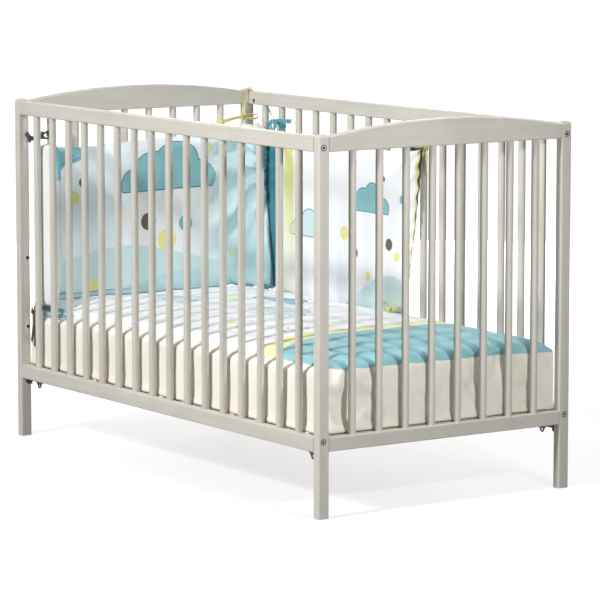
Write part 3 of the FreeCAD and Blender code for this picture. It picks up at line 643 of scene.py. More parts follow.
def make_floor():
    floor = basic(bpy.ops.mesh.primitive_plane_add, "floor", size=FLOOR_WIDE)
    ground = Recipe("pale_floor", (FLOOR_TONE,) * 3)
    rays = ground.nodes.new("ShaderNodeLightPath").outputs
    through = ground.maths("MAXIMUM", rays["Is Glossy Ray"], rays["Is Transmission Ray"])
    watched = ground.maths("MAXIMUM", rays["Is Camera Ray"], through)
    away = ground.add("VectorMath", {0: ground.place}, "Value", operation="LENGTH")
    ground.finish(0.9)
    ground.feed(ground.shader.inputs["Emission Color"], (1, 1, 1))
    glow = ground.both(watched, ground.spread(away, 1.2, 4.0, FLOOR_LIFT, 1.0))
    ground.feed(ground.shader.inputs["Emission Strength"], glow)
    floor.data.materials.append(ground.material)


def make_lamps():
    for name, place, aim, wide, spread, watts in LAMPS:
        lamp = bpy.data.lights.new(name, "AREA")
        lamp.shape, lamp.size, lamp.spread, lamp.energy = "DISK", wide, math.radians(spread), watts
        holder = placed(name, lamp)
        holder.location = place
        holder.rotation_euler = (Vector(place) - Vector(aim)).to_track_quat("Z", "Y").to_euler()
        holder.visible_camera = False


def make_camera():
    camera = placed("camera", bpy.data.cameras.new("camera"))
    camera.location = CAMERA_PLACE
    camera.rotation_euler = (math.radians(90 - CAMERA_ABOVE), 0, math.radians(CAMERA_TURN))
    camera.data.lens, camera.data.sensor_width, camera.data.clip_end = CAMERA_LENS, CAMERA_FILM, CAMERA_FAR
    scene.camera = camera


scene.view_settings.view_transform = "Standard"
make_room()
make_floor()
make_lamps()
make_camera()

# ---- wood and metal keep their CAD shapes ---------------------------------------------------
FINISHES = (
    (lacquered_wood("lacquer_upright_grain", "Z"), (
        "post_foot_back", "post_foot_front", "post_head_back", "post_head_front",
        "back_bars", "front_bars", "foot_bars", "head_bars")),
    (lacquered_wood("lacquer_side_rail_grain", "X"), (
        "back_top_rail", "back_bottom_rail", "front_top_rail", "front_bottom_rail")),
    (lacquered_wood("lacquer_end_rail_grain", "Y"), (
        "foot_top_rail", "foot_bottom_rail", "head_top_rail", "head_bottom_rail")),
    (bare_wood(), (
        "side_rail_dowels", "end_rail_dowels", "base_back_member", "base_front_member",
        "base_foot_member", "base_head_member", "base_slats")),
    (button_head_steel(), ("side_bolts",)),
    (plated_steel("zinc_plate", (0.075, 0.075, 0.085), 0.34), (
        "barrel_nuts", "base_height_inserts", "bracket_bolts", "slat_screws", "base_frame_screws")),
    (plated_steel("bracket_plate", (0.10, 0.10, 0.11), 0.40), ("base_brackets",)),
)
for material, members in FINISHES:
    for member in members:
        coat(nodes[member], material)


# ---- mattress and fitted sheet --------------------------------------------------------------
def rounded_block(name, low, high, corner, edge, bottom_edge, cell):
    """A block with rounded upright corners and top and bottom edges, as an even net."""
    block = basic(bpy.ops.mesh.primitive_cube_add, name, size=1, location=(low + high) / 2, scale=high - low)
    bpy.ops.object.transform_apply(location=True, rotation=True, scale=True)
    bpy.ops.object.mode_set(mode="EDIT")
    bpy.ops.mesh.select_mode(type="EDGE")
    for which, reach, steps in (("upright", corner, 6), ("top", edge, 6), ("bottom", bottom_edge, 3)):
        bpy.ops.mesh.select_all(action="DESELECT")
        net = bmesh.from_edit_mesh(block.data)
        level = high.z if which == "top" else low.z
        for e in net.edges:
            start, end = e.verts[0].co.z, e.verts[1].co.z
            if which == "upright":
                e.select = abs(start - end) > 0.01
            else:
                e.select = abs(start - level) + abs(end - level) < 1e-5
        bmesh.update_edit_mesh(block.data)
        bpy.ops.mesh.bevel(offset=reach, segments=steps, affect="EDGES")
    bpy.ops.object.mode_set(mode="OBJECT")
    even_net(block, cell)
    return block


# the long front edge, from the wall (0) round to the top (90): moved in, moved up
EDGE_TURN = (0, 22, 45, 62, 78, 90)
EDGE_IN = (0.0, 0.0080, 0.0196, 0.0157, 0.0121, 0.0130)
EDGE_UP = (-0.0097, -0.0133, -0.0168, -0.0135, -0.0101, -0.0082)


def front_share(x, y):
    """1 along the long front edge, 0 at its corners and beyond the middle of the bed."""
    return (1 - ease(np.abs(x), 0.50, 0.585)) * ease(-y, 0.02, 0.12)


def seam_height(x, y):
    """Where the printed top meets the cream sides, before the cloth is shaped."""
    front = drawn(x, (-0.56, 0.290), (-0.50, 0.300), (-0.42, 0.3118), (0.42, 0.3118), (0.56, 0.309))
    foot = drawn(y, (-0.28, 0.3085), (-0.20, 0.304), (0.15, 0.302), (0.28, 0.298))
    on_foot = x - SHEET_HIGH.x > -y - SHEET_HIGH.y
    return np.where(x > 0.5, np.where(on_foot, foot, front), np.where(y < 0, front, 0.300))


def front_shoulder(x, y, z, half, level, edge, lift, share):
    """How far the front moves up and in: a low shoulder up to the seam, the top panel swollen inside it."""
    inward = half + y
    turn = np.degrees(np.arctan2(np.maximum(z - level, 0), np.maximum(-y - (half - edge), 0) + 1e-9))
    round_edge = inward < edge
    panel_up = (lift - 0.0064 * (1 - ease(inward, 0.06, 0.26))) * share
    up = np.where(round_edge, np.interp(turn, EDGE_TURN, EDGE_UP) * ease(z, 0.19, level), panel_up)
    tilt = drawn(x, (-0.56, -0.008), (-0.42, -0.004), (-0.30, 0.0),
                 (0.20, 0.002), (0.42, 0.005), (0.56, 0.008))
    up += share * tilt * (1 - ease(inward, 0.03, 0.16))
    panel_in = 0.0130 * (1 - ease(inward, edge, 0.15))
    return up, np.where(round_edge, np.interp(turn, EDGE_TURN, EDGE_IN), panel_in) * (z > 0.22)


def top_ripples(x, y):
    """Faint all over; pleats and soft rumples towards the foot end."""
    pleats = ripple(y, PLEAT, 2.6 + 1.3 * rumple(y * 6, x * 9, seed=7.7))
    return (0.0011 * rumple(x * 16, y * 22, seed=3.1) + 0.0030 * ease(x, 0.34, 0.57) * pleats
            + 0.0028 * ease(x, 0.20, 0.45) * rumple(x * 11, y * 30, seed=2.3))


def foot_ripples(y, z):
    """The loose cloth of the foot wall: pleats pinched under the seam, and folds of three sizes."""
    pleat = ripple(y, PLEAT, 0.5 + 1.5 * rumple(y * 7, z * 7, seed=1.3))
    pinch = np.exp(-((z - PINCH) / 0.016) ** 2)
    folds = 0.0150 * rumple(y * 24, z * 15, seed=9.2) + 0.0070 * rumple(y * 52, z * 30, seed=4.4)
    loose = np.clip(0.0020 * pleat * (0.8 + 0.9 * pinch) + folds + 0.0002 - 0.0014 * pinch, -0.0080, 0.0022)
    creases = 0.0075 * rumple(y * 38, z * 8, seed=3.8) + 0.0010 * rumple(y * 90, z * 45, seed=7.1)
    return loose + np.clip(creases, -0.0045, 0.0026)


def side_ripples(x, y, z):
    """The long walls: wide, gentle waves that stand a little proud."""
    soft = 0.0022 * rumple(x * 13, z * 9, y, 5.9) + 0.0010 * rumple(x * 45, z * 20, y, 2.2)
    return np.clip(0.0009 * ripple(x, 0.142, 1.1) + soft + 0.0040, -0.002, 0.0060)


def dress(co, out, inset=0.0, edge=SHEET_EDGE):
    """Shapes the mattress and its sheet: crown, front shoulder, soft edges, and the loose cloth's ripples."""
    x, y, z = co.T
    half, level = SHEET_HIGH.y - inset, z.max() - edge
    up, share = ease(out[:, 2], 0.25, 0.9), ease(z, 0.20, SHEET_HIGH.z)
    lift = EDGE_TOP - SHEET_HIGH.z + CROWN * (1 - (x / SHEET_HIGH.x) ** 4) * (1 - (y / SHEET_HIGH.y) ** 4)
    front = front_share(x, y)
    front_up, front_in = front_shoulder(x, y, z, half, level, edge, lift, share)
    rise = share * lift * (1 - front) + front_up * front + up * top_ripples(x, y)
    rise -= 0.009 * ease(-x, 0.40, 0.58) * ease(-y, 0.22, 0.30) * share       # pulled-down front corner

    side = 1 - ease(np.abs(out[:, 2]), 0.35, 0.85)
    foot_wall, head_wall, long_wall = (
        side * ease(way, 0.5, 0.95) for way in (out[:, 0], -out[:, 0], np.abs(out[:, 1])))
    full = ease(x, 0.570, 0.590) * ease(y, 0.268, 0.288) * (1 - up)           # back corner at the foot
    tight = (1 - ease(x, -0.580, -0.545)) * ease(-y, 0.262, 0.282) * side     # front corner at the head
    swollen = 2 * np.abs(out[:, 0] * out[:, 1])
    dent = 0.0050 * np.exp(-((x - KNOT_DENT[0]) / 0.012) ** 2 - ((z - KNOT_DENT[1]) / 0.013) ** 2)

    shift_x = foot_wall * (0.35 + 0.65 * ease(z, 0.170, 0.195)) * foot_ripples(y, z)
    shift_x = shift_x * (1 - full) + 0.0032 * full
    shift_x = shift_x * (1 - tight) - tight * (0.0019 + 0.0014 * swollen)
    shift_x -= head_wall * (1 - tight) * (0.0012 + 0.0014 * rumple(y * 18, z * 10, seed=6.6))
    shift_y = np.sign(y) * long_wall * side_ripples(x, y, z) * (1 - full) + 0.0062 * full
    shift_y = shift_y * (1 - tight) - tight * (0.0038 + 0.0018 * swollen - dent)
    return np.stack([x + shift_x, y + shift_y + front * front_in, z + rise], axis=1)


def make_mattress():
    inset = Vector((CORE_INSET, CORE_INSET, CORE_INSET_UP))
    core = rounded_block("mattress_in_ticking", SHEET_LOW + inset, SHEET_HIGH - inset,
                         CORE_CORNER, CORE_EDGE, CORE_FOOT_EDGE, CORE_NET)
    co, out = points(core), normals(core)
    tuft = ripple(co[:, 0], 0.17, math.pi / 2) * ripple(co[:, 1], 0.145, math.pi / 2)
    co = dress(co, out, CORE_INSET, CORE_EDGE)
    co[:, 2] += ease(-out[:, 2], 0.8, 1.0) * 0.0012 * (1 - np.clip(tuft, 0, 1))      # tufted underneath
    put_points(core, co)
    coat(core, mattress_ticking())
    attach(core, "mattress")
    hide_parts("mattress_foam", "mattress_cover")
    return core


def open_underside(sheet):
    """Takes away the block's bottom inside the strip that is turned under."""
    inner = SHEET_HIGH.xy - Vector((SHEET_TURN_UNDER, SHEET_TURN_UNDER))
    net = bmesh.new()
    net.from_mesh(sheet.data)
    under = []
    for face in net.faces:
        middle = face.calc_center_median()
        if face.normal.z < -0.9 and abs(middle.x) < inner.x and abs(middle.y) < inner.y:
            under.append(face)
    bmesh.ops.delete(net, geom=under, context="FACES")
    net.to_mesh(sheet.data)
    net.free()


def stand_on_slats(co):
    """Squares the walls' feet and lets the hem hang just past the slats' ends."""
    foot = 1 - ease(co[:, 2], SHEET_LOW.z + 0.006, SHEET_LOW.z + 0.018)
    hem = 1 - ease(co[:, 2], SHEET_LOW.z + 0.002, SHEET_LOW.z + 0.009)
    near_tie = (co[:, 0] < -0.545) & (co[:, 1] < 0)
    beyond = np.zeros(len(co))
    walls = ((0, 0.0033, 0.0033, 0.0085, 0.0045), (1, 0.0060, 0.0045, 0.016, 0.008))
    for axis, bulge, tied_bulge, start, full in walls:
        wall = SHEET_HIGH[axis] + np.where(near_tie, tied_bulge, bulge)
        outside = ease(np.abs(co[:, axis]), wall - start, wall - full)
        co[:, axis] += np.sign(co[:, axis]) * foot * outside * np.maximum(wall - np.abs(co[:, axis]), 0)
        beyond = np.maximum(beyond, ease(np.abs(co[:, axis]), wall - 0.003, wall - 0.0008))
    co[:, 2] -= HEM_DROP * hem * beyond


def make_sheet():
    sheet = rounded_block("fitted_sheet_cloth", SHEET_LOW, SHEET_HIGH,
                          SHEET_CORNER, SHEET_EDGE, SHEET_FOOT_EDGE, SHEET_NET)
    open_underside(sheet)
    co, out = points(sheet), normals(sheet)
    keep_on_cloth(sheet, "above_seam", co[:, 2] - seam_height(co[:, 0], co[:, 1]))
    co = dress(co, out)
    stand_on_slats(co)
    put_points(sheet, co)
    thicken(sheet, SHEET_CLOTH, -1)
    coat(sheet, sheet_cotton())
    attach(sheet, "mattress")
    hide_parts("fitted_sheet")
    return sheet


mattress = make_mattress()
fitted = make_sheet()


# ---- padded bumper --------------------------------------------------------------------------
def rounded_route(corners, radii):
    """Plan points along straight runs with arcs at the corners."""
    route = [Vector(corners[0])]
    for before, here, after, radius in zip(corners, corners[1:], corners[2:], radii):
        before, here, after = Vector(before), Vector(here), Vector(after)
        back, on = (before - here).normalized(), (after - here).normalized()
        middle = here + (back + on) * radius
        start, end = here + back * radius, here + on * radius
        steps = max(4, int(radius * math.pi / 2 / ARC_STEP))
        for i in range(steps + 1):
            a = math.pi / 2 * i / steps
            route.append(middle + (start - middle) * math.cos(a) + (end - middle) * math.sin(a))
    route.append(Vector(corners[-1]))
    return np.array([tuple(p) for p in route])


def run_lengths(route):
    """How far along the route each of its points is, and how long each stretch is."""
    lengths = np.linalg.norm(np.diff(route, axis=0), axis=1)
    return np.concatenate([[0], np.cumsum(lengths)]), lengths


def pad_block(name, route, low, high):
    """A pad's plain shape: its plan drawn out to a thickness and pulled up to its height."""
    run = unit(np.diff(route, axis=0))
    way = unit(np.vstack([run[:1], run[:-1] + run[1:], run[-1:]]))
    left = np.stack([-way[:, 1], way[:, 0]], axis=1) * PAD_START / 2
    outline = np.vstack([route + left, (route - left)[::-1]])
    mesh = bpy.data.meshes.new(name)
    mesh.from_pydata([(x, y, low) for x, y in outline], [], [list(range(len(outline)))])
    pad = placed(name, mesh)
    only(pad)
    bpy.ops.object.mode_set(mode="EDIT")
    bpy.ops.mesh.select_all(action="SELECT")
    bpy.ops.mesh.extrude_region_move(TRANSFORM_OT_translate={"value": (0, 0, high - low)})
    bpy.ops.mesh.select_all(action="SELECT")
    bpy.ops.mesh.normals_make_consistent(inside=False)
    bpy.ops.object.mode_set(mode="OBJECT")
    soften = pad.modifiers.new("soften", "BEVEL")
    soften.width, soften.segments = PAD_EDGE, 3
    soften.limit_method, soften.angle_limit = "ANGLE", math.radians(50)
    even_net(pad, PAD_NET)
    return pad


def place_on_route(co, route):
    """How far along the route each point is, and how far to its left."""
    starts, lengths = run_lengths(route)
    best, along, side = np.full(len(co), 1e9), np.zeros(len(co)), np.zeros(len(co))
    for a, b, length, start in zip(route, route[1:], lengths, starts):
        way = (b - a) / length
        rel = co[:, :2] - a
        reached = rel @ way
        t = np.clip(reached, 0, length)
        far = np.linalg.norm(rel - t[:, None] * way, axis=1)
        nearer = far < best - 1e-9
        best = np.where(nearer, far, best)
        along = np.where(nearer, start + (reached if start in (0, starts[-2]) else t), along)
        side = np.where(nearer, rel @ np.array([-way[1], way[0]]), side)
    return along, side


def swell(pad):
    """Blows the pad up as cloth, and lets no point move further than PAD_PUFF."""
    flat = points(pad)
    only(pad)
    cloth = pad.modifiers.new("cloth", "CLOTH")
    feel = cloth.settings
    feel.quality = 4
    feel.mass = 0.25
    feel.tension_stiffness = feel.compression_stiffness = 8
    feel.shear_stiffness = 4
    feel.bending_stiffness = 0.15
    feel.use_pressure = True
    feel.uniform_pressure_force = 4.0
    feel.shrink_min = -PAD_GROWTH
    feel.effector_weights.gravity = 0
    for count in range(1, PAD_FRAMES + 1):
        scene.frame_set(count)
    shown = pad.evaluated_get(bpy.context.evaluated_depsgraph_get())
    swollen = np.array([v.co for v in shown.data.vertices])
    pad.modifiers.remove(cloth)
    scene.frame_set(1)
    move = swollen - flat
    size = np.linalg.norm(move, axis=1)[:, None]
    puffed = flat + move * np.minimum(1, PAD_PUFF / np.maximum(size, 1e-9))
    low, high = flat.min(axis=0) - PAD_FULL, flat.max(axis=0) + PAD_FULL
    start, end = puffed.min(axis=0), puffed.max(axis=0)
    put_points(pad, low + (puffed - start) * (high - low) / (end - start))


def swollen_pad(name, route, low, high, place_on_cloth):
    """A pad on its route, blown up; also each point's place along, up and across the flat cloth."""
    pad = pad_block(name, route, low + PAD_TRIM, high - PAD_TRIM)
    keep_on_cloth(pad, "cloth_place", place_on_cloth(points(pad)))
    swell(pad)
    finer = pad.modifiers.new("finer", "SUBSURF")
    finer.levels = finer.render_levels = 1
    apply_all(pad)
    return pad, *triples(pad.data.attributes["cloth_place"].data, "vector").T


def folds_to_tie(along, height, tie_along, tie_height, spacing, reach, seed):
    """Folds that fan out from the place where a tie pulls the cloth."""
    away = np.hypot(along - tie_along, height - tie_height)
    turn = np.arctan2(tie_height - height, tie_along - along)
    ridge = np.sin(turn * spacing + 2.2 * rumple(along * 11, height * 11, seed=seed)) + 0.25
    fade = ease(away, 0.01, 0.05) * (1 - ease(away, 0.3 * reach, reach))
    return np.abs(ridge) ** 1.5 * np.sign(ridge) * fade


def make_head_pad():
    outer, wall, ends = HEAD_HIGH.y - 0.015, HEAD_LOW.x + 0.0135, HEAD_HIGH.x - 0.002
    route = rounded_route([(ends, -outer), (wall, -outer), (wall, outer), (ends, outer)], (0.020, 0.062))
    middle = np.interp(0.0, route[:, 1], run_lengths(route)[0])

    def place_on_cloth(co):
        along, side = place_on_route(co, route)
        return stacked(along - middle, co[:, 2], -side)       # the bed's side of the route is positive

    pad, along, height, side = swollen_pad("head_pad", route, HEAD_LOW.z, HEAD_HIGH.z, place_on_cloth)
    co, out = points(pad), normals(pad)
    x, y, z = co.T                                  # views: changing them changes co
    soft = 0.0022 * rumple(along * 17, height * 3.2, seed=0.7)
    soft += 0.0010 * rumple(along * 42, height * 7, seed=8.1)
    pulled = 0.0105 * ease(along, 0.06, 0.24) * folds_to_tie(along, height, 0.40, 0.60, 15.0, 0.42, 2.9)
    gathers = ripple(height + 0.35 * along, 0.034, 2.5 * rumple(along * 9, height * 9, seed=6.4))
    front_pull = 0.0030 * folds_to_tie(along, height, -0.36, 0.70, 14.0, 0.26, 5.3)
    front_pull += 0.0036 * gathers * np.exp(-((along + 0.262) / 0.022) ** 2)
    co += out * (ease(side, -0.002, 0.006) * (soft + pulled + front_pull - 0.0010))[:, None]
    # top edge: low beside the front, higher at the back corner; lifted foot of the back corner
    z += ease(height, 0.42, HEAD_HIGH.z) * drawn(
        along, (-0.38, 0.001), (-0.24, -0.004), (-0.165, -0.008), (-0.056, 0.0), (0.08, 0.005),
        (0.20, 0.010), (0.285, 0.022), (0.33, 0.016), (0.38, 0.004))
    z += (1 - ease(height, HEAD_LOW.z, 0.40)) * drawn(
        along, (-0.38, -0.008), (-0.28, -0.018), (-0.20, -0.019), (-0.10, -0.011), (0.20, -0.010),
        (0.31, 0.001), (0.37, 0.004))
    lean = ease(along, 0.27, 0.372) * (1 - ease(height, 0.36, 0.56))
    x += 0.022 * lean                               # the end spreads over the join strip below
    y -= 0.004 * lean
    x[:] = np.maximum(x, HEAD_LOW.x - PAD_REACH)
    y[:] = np.clip(y, -HEAD_HIGH.y - PAD_REACH, HEAD_HIGH.y + PAD_REACH)
    # the front wing hangs clear from its ties
    rest_on_sheet(co, along, height, ease(along, -0.315, -0.265))
    dress_pad(pad, co, head_pad_cotton(), "head_pad_cotton", "head_bumper_wadding", "head_bumper_cover")


def make_back_pad():
    outer = BACK_HIGH.y - 0.0135
    route = np.array([(x, outer) for x in np.linspace(BACK_LOW.x + 0.002, BACK_HIGH.x - 0.002, 40)])

    def place_on_cloth(co):
        return stacked(co[:, 0], co[:, 2], outer - co[:, 1])

    pad, along, height, side = swollen_pad("back_pad", route, BACK_LOW.z, BACK_HIGH.z, place_on_cloth)
    co, out = points(pad), normals(pad)
    x, y, z = co.T                                  # views: changing them changes co
    soft = 0.0022 * rumple(along * 15, height * 2.6, seed=1.9)
    soft += 0.0009 * rumple(along * 40, height * 6, seed=3.3)
    tie = 0.0036 * folds_to_tie(along, height, 0.13, 0.70, 12.0, 0.24, 6.1)
    gathered = 0.0030 * folds_to_tie(along, height, -0.45, 0.70, 13.0, 0.20, 2.4)
    co += out * (ease(side, -0.002, 0.006) * (soft + tie + gathered - 0.0008))[:, None]
    # the end is drawn towards its tie at the top, and thins out below
    near_end, high = ease(along, -0.02, BACK_HIGH.x), ease(height, 0.50, BACK_HIGH.z)
    x += near_end * drawn(
        height, (0.326, -0.034), (0.436, -0.008), (0.498, 0.004), (0.577, 0.012), (0.689, 0.021))
    z += 0.006 * near_end * high - 0.003 * np.sin(np.pi * ease(along, -0.43, 0.10)) * high
    at_end = ease(along, 0.05, BACK_HIGH.x - 0.004)
    slim = at_end * drawn(height, (0.326, 0.55), (0.43, 0.78), (0.50, 0.80), (0.562, 0.42), (0.61, 0.0))
    y += slim * (outer - 0.004 - y)
    x += 0.0014 * at_end * ripple(height, 0.031, 4 * rumple(along * 4, height * 8, seed=2.7))
    y += 0.0018 * ease(along, 0.07, 0.105) * ripple(height, 0.037, 1.3) * ease(side, -0.010, 0.004)
    x -= 0.013 * (1 - ease(along, -0.430, -0.375)) * (1 - ease(height, 0.38, 0.58))
    z += (1 - ease(height, BACK_LOW.z, 0.39)) * drawn(
        along, (-0.43, -0.001), (-0.36, -0.007), (-0.10, -0.007), (0.08, -0.001))
    y[:] = np.clip(y, None, BACK_HIGH.y + PAD_REACH)
    rest_on_sheet(co, along, height)
    dress_pad(pad, co, back_pad_cotton(), "back_pad_cotton", "back_bumper_wadding", "back_bumper_cover")


def rest_on_sheet(co, along, height, share=1.0):
    """Lets the pad's foot down until it lies on the sheet, place by place along the pad."""
    low = np.flatnonzero(height < HEAD_LOW.z + 0.016)
    above_bed, below_top, nothing_there = 0.45, 0.285, 0.05
    gap = np.full(len(low), nothing_there)
    for count, index in enumerate(low):
        x, y, z = co[index]
        hit, spot, _, _ = fitted.ray_cast(Vector((x, y, above_bed)), Vector((0, 0, -1)))
        if hit and spot.z > below_top:
            gap[count] = z - spot.z
    steps = np.linspace(along.min(), along.max(), REST_STEPS)
    bins = np.digitize(along[low], steps)
    least = np.array([gap[bins == i].min() if (bins == i).any() else np.nan for i in range(1, REST_STEPS)])
    known = np.flatnonzero(least < 0.9 * nothing_there)
    middles = (steps[:-1] + steps[1:]) / 2
    least = np.interp(middles, middles[known], least[known])
    smooth = np.minimum(least, np.convolve(np.pad(least, 1, mode="edge"), (0.25, 0.5, 0.25), mode="valid"))
    drop = np.interp(along, middles, smooth) - REST_GAP
    co[:, 2] -= (1 - ease(height, HEAD_LOW.z, 0.42)) * drop * share


def dress_pad(pad, co, material, slot, *members):
    put_points(pad, co)
    only(pad)
    bpy.ops.object.shade_smooth()
    coat(pad, material)
    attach(pad, "bumper")
    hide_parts(*members)


def make_join():
    """The unpadded strip of cotton between the two pads, creased into a valley."""
    join = basic(bpy.ops.mesh.primitive_grid_add, "join_strip", x_subdivisions=36, y_subdivisions=90, size=1)
    co = points(join)
    across, up = co[:, 0] + 0.5, co[:, 1] + 0.5
    x = JOIN_HEAD_SIDE + JOIN_WIDE * across
    z = JOIN_FOOT + JOIN_TALL * up + JOIN_RAISED * (1 - across) * up
    crease = 0.0030 * np.sin(across * 17 + 1.6 * rumple(across * 2, up * 5, seed=4.8))
    crease += 0.0018 * rumple(across * 9, up * 16, seed=1.1)
    y = JOIN_FACE - 0.004 * (2 * across - 1) ** 2 + crease
    put_points(join, np.stack([x, np.minimum(y, JOIN_BACK), z], axis=1))
    thicken(join, JOIN_CLOTH)
    bpy.ops.object.shade_smooth()
    coat(join, plain_cotton("join_cotton", paint(62, 136, 150), paint(38, 100, 116)))
    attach(join, "bumper")
    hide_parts("bumper_join")


make_head_pad()
make_back_pad()
make_join()


# ---- ribbons --------------------------------------------------------------------------------
def smooth_line(path):
    """The points of a smooth line along a path."""
    line = bpy.data.curves.new("line", "CURVE")
    line.dimensions, line.resolution_u = "3D", 5
    spline = line.splines.new("NURBS")
    spline.points.add(len(path) - 1)
    for point, place in zip(spline.points, path):
        point.co = (*place[:3], 1)
    spline.order_u, spline.use_endpoint_u = 3, True
    only(placed("line", line))
    bpy.ops.object.convert(target="MESH")
    middle = points(bpy.context.object)
    bpy.data.objects.remove(bpy.context.object)
    return middle


def width_way(turn, rise):
    """The direction with this compass turn and rise, in degrees."""
    a, b = np.radians(turn), np.radians(rise)
    return np.stack([np.cos(a) * np.cos(b), np.sin(a) * np.cos(b), np.sin(b)], axis=-1)


def strip_of(path):
    """One length of ribbon. Each point of its path is a place, then the turn and rise of its width."""
    path = np.array(path) * (0.001, 0.001, 0.001, 1, 1)
    middle = smooth_line(path)
    count = len(middle)
    part, at = np.linspace(0, 1, count), np.linspace(0, 1, len(path))
    run = unit(np.gradient(middle, axis=0))
    wide = width_way(np.interp(part, at, path[:, 3]), np.interp(part, at, path[:, 4]))
    wide = unit(wide - np.sum(wide * run, axis=1)[:, None] * run)
    face = np.cross(run, wide)
    rows = []
    for across in (-1, -0.4, 0.4, 1):
        row = middle + wide * across * RIBBON_WIDE / 2 + face * RIBBON_CUP * (1 - across ** 2)
        row[0] -= run[0] * RIBBON_SLANT * across
        row[-1] += run[-1] * RIBBON_SLANT * across
        rows.append(row)
    starts = [r * count + i for r in range(len(rows) - 1) for i in range(count - 1)]
    mesh = bpy.data.meshes.new("strip")
    mesh.from_pydata([tuple(p) for row in rows for p in row], [],
                     [(i, i + 1, i + 1 + count, i + count) for i in starts])
    return placed("strip", mesh)


def round_bar(x, y, z, start):
    """A ribbon once round an upright bar."""
    wrap = []
    for i in range(WRAP_STEPS + 1):
        a = math.radians(start + 42 * i)
        across, back = WRAP_RADIUS * math.cos(a), WRAP_RADIUS * math.sin(a)
        wrap.append((x + across, y + back, z + WRAP_CLIMB * i / WRAP_STEPS, 0, 90))
    return wrap


def knot(x, y, z, turn, rise, size=3.4):
    """A short wrap round the place where the ends cross; its width lies along turn and rise."""
    axis = Vector(width_way(turn, rise))
    first = axis.orthogonal().normalized()
    second = axis.cross(first)
    wrap = []
    for i in range(10):
        spoke = first * math.cos(0.8 * i) + second * math.sin(0.8 * i)
        wrap.append((*(Vector((x, y, z)) + spoke * size + axis * 0.3 * (i - 5)), turn, rise))
    return wrap


def make_ribbon(name, strands, material, member):
    strips = [strip_of(strand) for strand in strands]
    only(strips[0])
    for strip in strips[1:]:
        strip.select_set(True)
    bpy.ops.object.join()
    ribbon = bpy.context.object
    ribbon.name = name
    thicken(ribbon, RIBBON_THICK)
    bpy.ops.object.shade_smooth_by_angle(angle=math.radians(50))
    coat(ribbon, material)
    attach(ribbon, "bumper")
    if member:
        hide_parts(member)


dark_satin = ribbon_satin("dark_ribbon", paint(68, 66, 60), paint(40, 39, 37))
teal_satin = ribbon_satin("teal_ribbon", paint(98, 174, 190), paint(48, 104, 122))
pale_satin = ribbon_satin("pale_teal_ribbon", paint(158, 205, 210), paint(84, 140, 150))
yellow_satin = ribbon_satin("yellow_ribbon", paint(226, 222, 134), paint(188, 182, 96))

